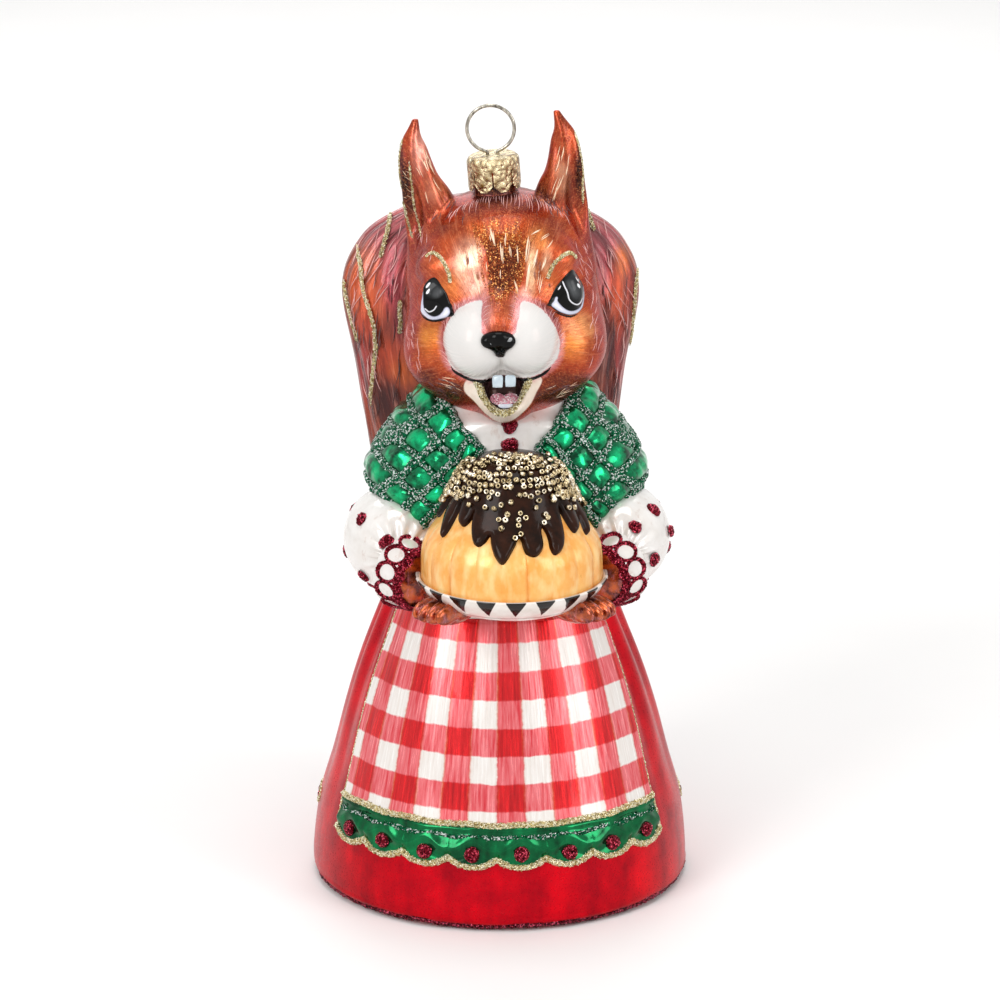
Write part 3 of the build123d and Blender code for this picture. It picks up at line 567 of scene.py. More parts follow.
# Apron: gingham with a scalloped green border, gold braid and red dots
GINGHAM_COLUMNS = 13
GINGHAM_ROWS = 7
GINGHAM_TOP = 58.5


def skirt_sheet(rows, cols, low, high):
    """A cloth on the skirt between two heights. Its edges go down into the skirt."""
    turn = np.linspace(APRON_TURN - APRON_HALF, APRON_TURN + APRON_HALF, cols)
    share = np.linspace(0, 1, rows)[:, None]
    lo = low(turn)
    z = lo + (high - lo) * share
    tt = np.broadcast_to(turn, z.shape)
    to_ends = np.minimum(share, 1 - share) * (high - lo)
    to_edge = np.minimum(to_ends, (APRON_HALF - np.abs(tt - APRON_TURN)) * math.radians(1) * 34)
    return tt, z, APRON_OUT * np.sqrt(np.clip(to_edge / 0.5, 0, 1)) - 0.15 * (to_edge < 1e-6), share


tt, zz, level, _ = skirt_sheet(150, 300, lambda turn: APRON_LOW + 0 * turn, APRON_TOP)
width_share = (tt - APRON_TURN + APRON_HALF) / (2 * APRON_HALF)
row = (zz - APRON_LOW) / (GINGHAM_TOP - APRON_LOW) * GINGHAM_ROWS
weave = np.stack([width_share * GINGHAM_COLUMNS, row, 0 * row], -1)
p = Paint("apron_gingham", **clear_coat(0.3, 0.06))
at = p.held("weave", "Vector")
bristle = p.noise(1.0, 6.0, 0.65, at, (9.0, 0.55, 1.0))
wander = p.times(p.minus(p.noise(2.6, 3.0, 0.6, at, (1, 1.6, 1)), 0.5), 0.13)
column, row, _ = p.add("SeparateXYZ", Vector=at).outputs
waves = [p.math("PINGPONG", p.plus(value, wander), 1.0) for value in (column, row)]
stripes = p.plus(*[p.band(wave, 0.47, 0.53) for wave in waves])
half = p.mix(p.band(bristle, 0.36, 0.66), "cf2c38", "ee8a8e")
plain = p.mix(p.band(bristle, 0.3, 0.6), "dcd2ca", "ece8e4")
tone = p.mix(p.band(stripes, 0.0, 1.0), plain, half)
tone = p.mix(p.band(stripes, 1.0, 2.0), tone, p.mix(p.band(bristle, 0.34, 0.7), "a80410", "ea1c22"))
to_stripe = p.math("ABSOLUTE", p.minus(waves[0], 0.5))
brushed = p.times(p.band(to_stripe, 0.0, 0.09, 1.0, 0.0), p.band(bristle, 0.4, 0.62, 0.0, 0.55))
tone = p.mix(brushed, tone, "b06a2c")
metal = p.band(stripes, 0.0, 2.0, 0.1, 0.55)
cloth_paint = p.finish(tone, bristle, 0.16, 0.32, p.bump(bristle, 0.3, 0.0003), Metallic=metal)
glass("apron_cloth", sheet(on_skirt(tt, zz, level)), cloth_paint, "apron_enamel", "apron", weave=weave)

SCALLOPS = 8
SCALLOP_R = 8.09
SCALLOP_Z = 21.19
scallop_turns = APRON_TURN + 2 * APRON_HALF / SCALLOPS * (np.arange(SCALLOPS) + 0.5 - SCALLOPS / 2)


def scallop_edge(turn):
    """Height of the border's scalloped edge."""
    side = 37.0 * np.sin(np.radians(np.asarray(turn)[..., None] - scallop_turns))
    return (SCALLOP_Z - np.sqrt(np.maximum(SCALLOP_R**2 - side**2, 0))).min(-1)


def ridge(share, at, width):
    return np.exp(-(((share - at) / width) ** 2))


tt, zz, level, share = skirt_sheet(44, 620, scallop_edge, APRON_LOW)
arch = np.cos(2 * np.pi * ((tt - APRON_TURN + APRON_HALF) / (2 * APRON_HALF) * SCALLOPS - 0.5))
relief = 0.55 * ridge(share, 0.52 + 0.16 * arch, 0.15) - 0.25 * ridge(share, 0.22 + 0.12 * arch, 0.14)
level = level + (relief + 0.3 * ridge(share, 0.9, 0.06)) * (level > 0.3)
green = lacquer("cape_lacquer", "00341c", "067a44", 0.86, 0.16, 0.45, 0.15)
glass("apron_border_glass", sheet(on_skirt(tt, zz, level)), green, "cape_glass", "apron_border")

gold_glitter = glitter("gold_glitter", "8a7038", "dccb92", "fff8da", 3.6, 0.66, 0.56)
silver_glitter = glitter("silver_glitter", "00140b", "04744a", "f8fffc", 3.6, 0.25, 0.7, 0.15)
red_glitter = glitter("red_glitter", "240006", "7c0c20", "e0566e", bright=0.7)
hem_glitter = glitter("hem_glitter", "1c0006", "5e0a1a", "b8475e", 3.0)

ends = APRON_TURN - APRON_HALF, APRON_TURN + APRON_HALF
around = np.linspace(*ends, 300)
fine = np.linspace(*ends, 420)
rise = np.linspace(APRON_LOW, APRON_TOP - 0.2, 150)
braid_z = APRON_LOW + 0.1 + 0.12 * np.sin(around / 3)
parts = [
    strip(*skirt_path(around, braid_z, APRON_OUT), 1.5, 0.55, jitter=0.09),
    strip(*skirt_path(fine, scallop_edge(fine) + 0.3, APRON_OUT * 0.75), 1.35, 0.6, jitter=0.09),
]
for end, way in zip(ends, (1, -1)):
    parts.append(strip(*skirt_path(end + way * 0.35, rise, APRON_OUT * 0.5), 0.7, 0.42, across=5, jitter=0.06))
    at = end + way * 0.5
    short = np.linspace(float(scallop_edge(at)), APRON_LOW, 26)
    parts.append(strip(*skirt_path(at, short, APRON_OUT * 0.6), 1.0, 0.5, jitter=0.09))
glass("apron_braid_glitter", merge(parts), gold_glitter, "gold_glitter", "apron_braid")
dotted = np.linspace(ends[0] + 2, ends[1] - 2, 400)
path = skirt_path(dotted, APRON_LOW - 2.1 + 0.18 * np.sin(dotted / 2.2), APRON_OUT + 0.34)
glass("border_sparkle", strip(*path, 0.9, 0.5, 5, 0.13, 0.36), silver_glitter, "silver_glitter")
specs = []
for n, at in enumerate(scallop_turns):
    specs.append((*skirt_path(at, 15.9 + 0.25 * math.sin(2.1 * n), APRON_OUT + 0.15), 1.6, 0.75, 0.07, 6, 30, 0.05))
glass("apron_dot_glitter", blobs(specs), red_glitter, "red_glitter", "apron_dots")

# Hem line and the loops with dots on the sides and back
around = np.linspace(0, 360, 620, endpoint=False)
hem_z = 1.15 + 0.12 * np.sin(np.radians(around * 9)) + 0.1 * np.sin(np.radians(around * 23))
hem = away(around) * np.interp(hem_z, skirt_line[:, 1], skirt_line[:, 0])[:, None]
hem[:, 2] = hem_z
hem_mesh = strip(hem, away(around) + [0, 0, -0.35], 1.5, 0.5, jitter=0.1, closed=True)
glass("hem_glitter_line", hem_mesh, hem_glitter, "red_glitter", "hem_line")

SPRIG_TURNS = np.linspace(98, 262, 6)
SPRIG_Z = 15.0
SPRIG_R = 1.42
SPRIG_STEP = 3.3
SKIRT_R_THERE = 36.8
a = np.linspace(0, 2 * np.pi, 44, endpoint=False)
parts, specs = [], []
for at in SPRIG_TURNS:
    for k in (-1, 0, 1):
        turn = at + np.degrees((k * SPRIG_STEP + SPRIG_R * np.cos(a)) / SKIRT_R_THERE)
        z = SPRIG_Z + SPRIG_R * np.sin(a) * (1 if k else 1.15)
        parts.append(strip(*skirt_path(turn, z, 0.02), 0.75, 0.42, across=5, jitter=0.07, closed=True))
        middle = skirt_path(at + math.degrees(k * SPRIG_STEP / SKIRT_R_THERE), SPRIG_Z, 0.1)
        specs.append((*middle, 0.85, 0.5, 0.08, 4, 16, 0.12))
glass("sprig_glitter", merge(parts), gold_glitter, "gold_glitter", "skirt_sprigs")
glass("sprig_dot_glitter", blobs(specs), red_glitter, "red_glitter", "sprig_dots")

# Upper body: blouse, quilted cape, sleeves, cuffs and paws

SIDE = 1.2
WAIST_Z = 60.0
NECK_Z = 103.0
torso_line = sections([
    (WAIST_Z, 22.7, 22.7, 0.0), (71.2, 24.4, 20.4, SIDE), (83.2, 27.1, 19.8, SIDE),
    (91.0, 24.4, 18.0, SIDE), (97.8, 19.0, 15.5, SIDE), (NECK_Z, 13.6, 11.4, SIDE),
])


def on_torso(angle, z, out=0.0):
    """Points of the torso at an angle from +X towards the back, pushed out, and the normals there."""
    w, d, cx = torso_line(z)
    p = np.stack([cx + w * np.cos(angle), d * np.sin(angle), z + 0 * angle], -1)
    (w2, d2, cx2), (w1, d1, cx1) = torso_line(z + 0.3), torso_line(z - 0.3)
    up = np.stack([cx2 - cx1 + (w2 - w1) * np.cos(angle), (d2 - d1) * np.sin(angle), 0.6 + 0 * angle], -1)
    about = np.stack([-w * np.sin(angle), d * np.cos(angle), 0 * angle], -1)
    n = unit(np.cross(about, up))
    return p + n * np.asarray(out)[..., None], n


def torso_field(p):
    w, d, cx = torso_line(p[..., 2])
    return np.maximum(oval(p[..., 0] - cx, p[..., 1], w, d), np.maximum(p[..., 2] - NECK_Z, WAIST_Z - p[..., 2]))


COLS = 480
angles, zz = np.meshgrid(np.linspace(0, 2 * np.pi, COLS, endpoint=False), np.linspace(WAIST_Z, NECK_Z, 130))
gather = np.sin(angles * 22 + 0.7 * np.sin(zz / 4)) * smooth(zz, 66, WAIST_Z) * 0.35
chest = 0.25 * np.sin(zz * 1.1 + 3 * np.abs(angles - 1.5 * np.pi)) * smooth(zz, 84, 92)
p = Paint("blouse_lacquer", **clear_coat(0.35, 0.04, 0.4))
wash = p.noise(0.22, 4.0, 0.6)
brush = p.noise(0.6, 5.0, 0.65, stretch=(1, 1, 0.35))
line = p.times(p.band(brush, 0.56, 0.72), p.band(wash, 0.42, 0.6))
tone = p.mix(p.times(line, 0.55), p.mix(p.band(wash, 0.3, 0.7), "eeebe8", "ded8d2"), "a8765a")
blouse_paint = p.finish(tone, brush, 0.13, 0.24, p.bump(wash, 0.2, 0.0004), Metallic=0.12)
v, f = sheet(on_torso(angles, zz, gather + chest - 0.3)[0], True)
v = np.vstack([v, [SIDE, 0.0, NECK_Z]])
faces = [fan(len(v) - 1, len(v) - 1 - COLS, COLS), f]
glass("blouse_glass", (v, faces), blouse_paint, "blouse_glass", "blouse")

# Cape: each panel is a quilt whose corners are seen from the front, as (distance from the middle, height)
FRONT, NECK, OUTER, TIP = np.array([(5.4, 93.4), (15.4, 103.6), (35.6, 88.6), (17.2, 77.6)])
QUILT_U = np.array([0.0, 0.25, 0.5, 0.75, 1.0])
QUILT_V = np.array([0.0, 0.29, 0.56, 0.81, 1.0])
U_MM = 24.0
V_MM = 17.5
LATTICE_RISE = 0.72


def cross2(a, b):
    return a[..., 0] * b[..., 1] - a[..., 1] * b[..., 0]


def quilt(x, z):
    """How far a place lies from the neck corner towards the outer corner, and towards the front corner."""
    a, b, c = OUTER - NECK, FRONT - NECK, TIP - OUTER - FRONT + NECK
    u = v = np.full(x.shape + (1,), 0.5)
    for _ in range(9):
        f = NECK + u * a + v * b + u * v * c - np.stack([x, z], -1)
        du, dv = a + v * c, b + u * c
        det = cross2(du, dv)
        det = np.where(np.abs(det) < 1e-6, 1e-6, det)
        u = np.clip(u - (cross2(f, dv) / det)[..., None], -2, 3)
        v = np.clip(v - (cross2(du, f) / det)[..., None], -2, 3)
    return u[..., 0], v[..., 0]


def cell_wave(value, marks):
    """A wave that is 0 on the marks and 1 midway between them."""
    k = np.clip(np.searchsorted(marks, value) - 1, 0, len(marks) - 2)
    return np.clip(np.sin(np.pi * (value - marks[k]) / (marks[k + 1] - marks[k])), 0, 1)


ground, n = on_torso(*np.meshgrid(np.linspace(0, 2 * np.pi, 680, endpoint=False), np.linspace(75.5, NECK_Z, 170)))
uu, vv = quilt(np.abs(ground[..., 0] - SIDE), ground[..., 2])
uu = uu + 0.018 * wobble(ground, 0.55, 1.0)
vv = vv + 0.025 * wobble(ground, 0.6, 4.0)
inside = np.minimum(np.minimum(uu, 1 - uu) * U_MM, np.minimum(vv, 1 - vv) * V_MM)
pillow = (cell_wave(uu, QUILT_U) * cell_wave(vv, QUILT_V)) ** 0.6
level = 0.3 + 1.35 * pillow + 0.3 * wobble(ground, 1.0, 2.0) * pillow
level = np.where(inside > -0.7, level * np.sqrt(np.clip((inside + 0.7) / 0.7, 0, 1)) - 0.1, -0.6)
p = Paint("quilt_lacquer", **clear_coat(0.15))
cloud = p.noise(0.3, 4.0, 0.6)
tone = p.mix(p.band(cloud, 0.38, 0.62), "003a22", "0cbc78")
# Darker towards each cell's edges, where the pillow dips: painted shade
tone = p.mix(p.band(p.held("cell"), 0.25, 0.95), "02301c", tone)
spill = p.band(p.plus(p.grains(3.6)[0], p.band(p.held("cell"), 0.2, 0.7, 0.12, -0.1)), 0.93, 0.95)
metal = p.times(p.minus(1.0, spill), 0.84)
tone = p.mix(spill, tone, "e8fff2")
quilt_paint = p.finish(tone, p.noise(2.2, 3.0, 0.6), 0.12, 0.24, p.bump(cloud, 0.15, 0.0004), Metallic=metal)
mesh, held = clip_mesh(*sheet(ground + n * level[..., None], True), inside > -1.0, cell=pillow.ravel())
glass_halves("cape_{}_quilt", mesh, quilt_paint, "cape_glass", "cape_{}", **held)

line_u = np.abs(uu[..., None] - QUILT_U).min(-1) * U_MM
line_v = np.abs(vv[..., None] - QUILT_V).min(-1) * V_MM
line_u[(vv <= -0.05) | (vv >= 1.05)] = 9
line_v[(uu <= -0.04) | (uu >= 1.04)] = 9
to_line = np.minimum(line_u, line_v)
half_width = 0.66 + 0.2 * wobble(ground, 1.9, 7.0)
dome = 1 - (to_line / half_width) ** 2
rough = rng.normal(0, 0.085, dome.shape)
level = LATTICE_RISE + np.where(dome > 0, 0.62 * np.sqrt(np.clip(dome, 0, 1)) + rough, 2.2 * np.clip(dome, -0.8, 0))
mesh, _ = clip_mesh(*sheet(ground + n * level[..., None], True), to_line < half_width + 0.5)
glass_halves("cape_{}_glitter", mesh, silver_glitter, "silver_glitter", "cape_lattice_{}")

BUTTONS = ((98.0, 1.75), (94.3, 1.6))
specs = [(*on_torso(1.5 * np.pi, z, 0.2), radius, 0.9, 0.1, 6, 26, 0.1) for z, radius in BUTTONS]
glass("button_glitter", blobs(specs), red_glitter, "red_glitter", "blouse_buttons")

# Sleeves, worked out for the left side and mirrored for the right
SLEEVE = np.array([SIDE + 21.8, -6.0, 72.2])
SLEEVE_RADII = np.array([11.2, 14.0, 10.8])
CUFF = np.array([SIDE + 19.6, -18.6, 68.6])
SIDES = ((1, "left"), (-1, "right"))


def flip(p, side, middle=SIDE):
    """Left-side points, or their mirror image about the figure's own middle."""
    return p if side > 0 else p * np.array([-1.0, 1.0, 1.0]) + [2 * middle, 0, 0]


def flip_mesh(mesh, side):
    verts, faces = mesh
    if side < 0:
        faces = [f[:, ::-1] for f in (faces if isinstance(faces, list) else [faces])]
    return flip(verts, side), faces


def on_sleeve(az, el, out=0.0):
    """Points of the left sleeve and normals: azimuth from +X upwards, and latitude to the front."""
    d = np.stack([np.cos(el) * np.cos(az), -np.sin(el), np.cos(el) * np.sin(az)], -1)
    n = unit(d / SLEEVE_RADII)
    return SLEEVE + d * SLEEVE_RADII + n * np.asarray(out)[..., None], n


pole = np.pi / 2 * 0.98
AZ, EL = np.meshgrid(np.linspace(0, 2 * np.pi, 260, endpoint=False), np.linspace(-pole, pole, 150))
pleat = 0.34 * smooth(EL, 0.55, 1.3) * np.cos(AZ * 15 + 1.2 * np.sin(AZ * 2))
crease = 0.3 * smooth(np.sin(AZ), 0.35, 0.9) * np.sin(9 * EL + 3 * np.cos(AZ) + 1.0)
for side, name in SIDES:
    soft = 0.18 * wobble(np.stack([AZ * 2, EL * 3, AZ * 0], -1), 1.0, 3.0 + side)
    mesh = flip_mesh(sheet(on_sleeve(AZ, EL, pleat + crease * 0.6 + soft - 0.45)[0], True), side)
    glass(f"sleeve_{name}_glass", mesh, blouse_paint, "blouse_glass", f"sleeve_{name}")

DOTS_PX = {
    "left": [(653, 510), (635, 527), (654, 559), (669.5, 531), (655, 477)],
    "right": [(362, 519), (387, 542), (364, 575), (354, 483), (343.5, 551), (379, 594)],
}
# Azimuth and latitude of the dots that the photograph doesn't show
HIDDEN_DOTS = np.radians([(-20, -8), (25, -32), (-62, 6), (-55, -38), (60, -50), (8, -62)])
for side, name in SIDES:
    def field(q):
        return ellipsoid(flip(q, side), SLEEVE, SLEEVE_RADII - 0.4)

    at = cast(DOTS_PX[name], field)
    at = at[~np.isnan(at[:, 0])]
    specs = []
    for i, (c, k) in enumerate(zip(at, unit(slope(field, at)))):
        specs.append((c + 0.3 * k, k, 1.46 + 0.12 * math.sin(3 * i + side), 0.72, 0.08, 6, 26, 0.08))
    for az, el in HIDDEN_DOTS:
        c, k = on_sleeve(az, el, -0.15)
        specs.append((flip(c, side), flip(k, side, 0), 1.45, 0.72, 0.08, 6, 26, 0.08))
    glass(f"sleeve_{name}_dots", blobs(specs), red_glitter, "red_glitter", f"sleeve_dots_{name}")

# Cuffs with glitter lace round white windows, and the fur that fills each cuff's hand end
CUFF_WIDE = 6.0
CUFF_R = 7.6
HAND_R = 6.2
WINDOWS = 11
lean, dip = math.radians(38.0), math.radians(8.0)
CUFF_AXIS = -np.array([math.sin(lean), math.cos(lean) * math.cos(dip), math.cos(lean) * math.sin(dip)])
CUFF_SIDE = unit(np.cross(CUFF_AXIS, (0, 0, 1)))
CUFF_UP = np.cross(CUFF_SIDE, CUFF_AXIS)


def on_cuff(turn, along, out=0.0):
    """Points on the left cuff: turn about the wrist, and place along it, -0.5 at the sleeve and 0.5 at the hand."""
    r = (CUFF_R + HAND_R) / 2 + (HAND_R - CUFF_R) * along + out
    d = np.cos(turn)[..., None] * CUFF_SIDE + np.sin(turn)[..., None] * CUFF_UP
    return CUFF + CUFF_AXIS * (CUFF_WIDE * along)[..., None] + d * r[..., None]


COLS = 240
turn, along = np.meshgrid(np.linspace(0, 2 * np.pi, COLS, endpoint=False), np.linspace(-0.5, 0.5, 40))
profile = 0.55 * np.sqrt(np.clip(1 - (2 * along) ** 4, 0, 1)) - 0.5
v, f = sheet(on_cuff(turn, along, profile + 0.12 * np.cos(10 * turn)), True)
cuff = np.vstack([v, CUFF - CUFF_AXIS * CUFF_WIDE * 0.45]), [fan(len(v), 0, COLS), f[:, ::-1]]
spoke = np.cos(turn[0])[:, None] * CUFF_SIDE + np.sin(turn[0])[:, None] * CUFF_UP
v = [
    CUFF + CUFF_AXIS * (CUFF_WIDE * 0.44 + 1.5 * math.sqrt(1 - s * s)) + spoke * (HAND_R - 0.1) * s
    for s in np.linspace(1, 0, 14)
]
v, f = sheet(np.array(v), True)
wrist = v, f[:, ::-1]
turn, along = np.meshgrid(np.linspace(0, 2 * np.pi, 520, endpoint=False), np.linspace(-0.52, 0.76, 72))
phase = (turn / (2 * np.pi) * WINDOWS + 0.5) % 1 - 0.5
across = phase * CUFF_R * 2 * np.pi / WINDOWS
from_row = along * CUFF_WIDE - 0.4
window = np.hypot(across / 1.66, from_row / 1.85) - 1
loop = (1 - np.hypot(across / 2.45, from_row / 2.6)) * 2.4
seam = 0.9 + 0.25 * np.cos(2 * np.pi * phase) - np.abs(along * CUFF_WIDE - 2.9)
depth = np.minimum(window * 1.4, np.maximum(loop, seam))
thread = np.clip(depth / 0.55, -1, 1)
for side, name in SIDES:
    glass(f"cuff_{name}_glass", flip_mesh(cuff, side), blouse_paint, "blouse_glass", f"cuff_{name}")
    dome = 0.5 * np.sqrt(1 - (1 - np.clip(thread, 0, 1)) ** 2)
    level = np.where(thread > 0, dome + rng.normal(0, 0.09, thread.shape), 0.9 * thread)
    mesh, _ = clip_mesh(*sheet(flip(on_cuff(turn, along, level + 0.05), side), True), depth > -0.3)
    glass(f"cuff_{name}_lace", mesh, red_glitter, "red_glitter", f"cuff_lace_{name}")

# Paws that grip the plate from below
p = Paint("paw_lacquer", Metallic=0.66, **clear_coat(0.4))
cloud = p.noise(0.5, 4.0, 0.65)
hair = p.noise(0.9, 5.0, 0.65, stretch=(1, 1, 0.4))
tone = p.mix(p.band(cloud, 0.36, 0.62), "5c1c16", "c65c28")
tone = p.mix(p.band(hair, 0.52, 0.72, 0.0, 0.8), tone, "b8707c")
paw_paint = p.finish(tone, hair, 0.14, 0.3, p.bump(cloud, 0.3, 0.0004))
PAW = np.array([SIDE + 12.6, -32.0, 66.0])
turn_in = math.radians(38.0)
PAW_AXES = np.array([
    (math.cos(turn_in), -math.sin(turn_in), 0), (math.sin(turn_in), math.cos(turn_in), 0), (0, 0, 1)
])


def paw_field(p):
    local = (p - PAW) @ PAW_AXES
    f = ellipsoid(local, (0, 1.5, -0.2), (4.1, 6.8, 3.4))
    for spread in (-2.7, -0.9, 0.9, 2.7):
        finger = ellipsoid(local, (spread * 1.05, -4.6 + 0.35 * abs(spread), 0.2), (1.15, 4.2, 2.1))
        f = smin(f, finger, 0.5)
    return f


paw = net(paw_field, PAW - [10.5, 10.5, 4.6], PAW + [10.5, 10.5, 4.4], 0.3)
for side, name in SIDES:
    glass(f"wrist_{name}_glass", flip_mesh(wrist, side), paw_paint, "paw_glass")
for side, name in SIDES:
    glass(f"paw_{name}_glass", flip_mesh(paw, side), paw_paint, "paw_glass", f"paw_{name}")

# Head: skull, snout, muzzle, jaw and ears as one blown form, worked out in the head's own leaning frame

HEAD_AT = np.array([0.8, 0.0, 118.0])
roll, yaw = math.radians(4.2), math.radians(-5.0)
HEAD_UP = np.array([-math.sin(roll), 0.0, math.cos(roll)])
level_side = np.array([math.cos(roll), 0.0, math.sin(roll)])
HEAD_SIDE = level_side * math.cos(yaw) + np.cross(HEAD_UP, level_side) * math.sin(yaw)
HEAD_AXES = np.stack([HEAD_SIDE, np.cross(HEAD_UP, HEAD_SIDE), HEAD_UP], 1)

# Height, half-width, half-depth and shift forwards, as shares of the head's
SKULL_ROWS = [
    (-0.88, 0.36, 0.36, 0.22), (-0.82, 0.48, 0.46, 0.2), (-0.65, 0.78, 0.76, 0.14), (-0.43, 0.96, 0.93, 0.1),
    (-0.19, 0.99, 0.99, 0.06), (0.08, 0.96, 1.0, 0.03), (0.34, 0.92, 0.97, 0.0), (0.6, 0.82, 0.87, 0.0),
    (0.8, 0.65, 0.7, 0.0), (0.93, 0.44, 0.46, 0.0), (1.0, 0.2, 0.21, 0.0),
]
# Height, half-width, half-depth and distance from the middle as shares of the ear's, and millimetres backwards
EAR_ROWS = [
    (-0.1, 1.02, 1.0, 0.82, 0.0), (0.0, 1.0, 1.0, 0.83, 0.0), (0.3, 0.92, 0.86, 0.87, 0.0),
    (0.6, 0.62, 0.62, 1.0, -0.3), (0.83, 0.36, 0.38, 1.03, -0.2), (1.0, 0.09, 0.1, 0.97, 0.0),
]
skull_line = sections(np.array(SKULL_ROWS) * (23.6, 19.8, 18.8, 18.8))
ear_line = sections(np.array(EAR_ROWS) * (27.0, 6.0, 5.0, 14.4, 1) + (12, 0, 0, 0, 0))
# What blends into the skull, on both sides alike: centre, radii and blend
HEAD_FORMS = (
    ((12.2, -8.0, -5.6), (7.2, 8.0, 7.6), 4.0),  # cheeks
    ((10.6, -10.6, 12.0), (4.6, 3.6, 2.6), 3.6),  # brows
    ((0, -15.0, 2.2), (4.6, 10.2, 6.4), 3.2),  # snout
    ((12.7, -12.3, 5.5), (3.5, 2.6, 4.4), 1.0),  # eyes
    ((0, -13.4, -12.0), (7.3, 8.3, 7.8), 1.6),  # lower jaw
)
MOUTH_FORM = (0, -21.6, -11.6), (4.5, 5.2, 4.6)
MUZZLE_FORM = (4.5, -15.6, -1.6), (7.0, 9.6, 7.8)
EAR_HOLLOW = (16.6, -4.4, 20.5), (2.6, 3.4, 8.6)
UPPER_TEETH_WALL = (0, -15.4, -9.4), (7.4, 9.0, 6.6)


def head_local(q):
    """Field of the head without its ears, in its own frame."""
    x, y, z = q.T
    both = np.stack([np.abs(x), y, z], -1)
    w, d, forwards = skull_line(z)
    f = np.maximum(oval(x, y + forwards, w, d), np.maximum(z - 23.6, -20.8 - z))
    for centre, radii, blend in HEAD_FORMS:
        f = smin(f, ellipsoid(both, centre, radii), blend)
    f = -smin(-f, ellipsoid(both, *MOUTH_FORM), 0.9)
    return smin(f, ellipsoid(both, *MUZZLE_FORM), 1.1)


def eared_local(q):
    """The same with its ears: curved horns, hollowed at the front."""
    x, y, z = q.T
    x = np.abs(x + 0.03 * np.clip(z - 14, 0, 30))
    w, d, middle, back = ear_line(z)
    groove = 0.28 * np.sin((x - middle) * 2.4 + 0.15 * z) * smooth(z, 14, 20)
    f = oval(x - middle, y - back, w, d) + groove * 0.5
    f = np.maximum(f, np.maximum(z - 38.9, 8.0 - z))
    f = -smin(-f, ellipsoid(np.stack([x, y, z], -1), *EAR_HOLLOW), 0.8)
    return smin(head_local(q), f, 3.0)


def blown_local(q):
    """The same with its neck, which is an open tube."""
    r, z = np.hypot(q[:, 0], q[:, 1]), q[:, 2]
    f = smin(eared_local(q), np.maximum(r - 4.3, np.maximum(z - 30.4, 14.0 - z)), 0.6)
    return np.maximum(f, -np.maximum(r - 3.4, 16.0 - z))


def to_head(p):
    return (p - HEAD_AT) @ HEAD_AXES


def head_field(p):
    return eared_local(to_head(p))


def teeth_field(p):
    """The muzzle's front, carried down as a wall where the teeth stand."""
    q = to_head(p)
    return np.minimum(head_local(q), ellipsoid(q, *UPPER_TEETH_WALL))


q, head_faces = net(blown_local, (-22.4, -28.4, -21.2), (22.4, 20.4, 40.2), 0.34)
head_v = HEAD_AT + q @ HEAD_AXES.T
corners = [head_v[head_faces[:, k]] for k in range(3)]
face_normals = np.cross(corners[1] - corners[0], corners[2] - corners[0])
head_n = np.zeros_like(head_v)
for k in range(4):
    np.add.at(head_n, head_faces[:, k], face_normals)
head_n = unit(head_n)


def blend_in(colour, code, share):
    return colour * (1 - share[:, None]) + np.array(rgb(code)[:3]) * share[:, None]


def airbrush(points, normals, colour, spots, back):
    """Colours laid on what faces the camera, in soft oval spots, both own colours and painted light and shade: place,
    half-widths, colour and strength.
    """
    px = to_pixel(points)
    facing = smooth(-(normals @ CAM_AHEAD), back, back + 0.25)
    for cx, cy, rx, ry, code, strength in spots:
        r2 = ((px[:, 0] - cx) / rx) ** 2 + ((px[:, 1] - cy) / ry) ** 2
        colour = blend_in(colour, code, strength * np.exp(-(r2**1.5)) * facing)
    return colour, px, facing


def mottle(points, code_a, code_b, scale, seed):
    return blend_in(np.array(rgb(code_a)[:3]), code_b, 0.5 + 0.5 * wobble(points, scale, seed))


def with_alpha(colour):
    return np.hstack([colour, np.ones((len(colour), 1))])
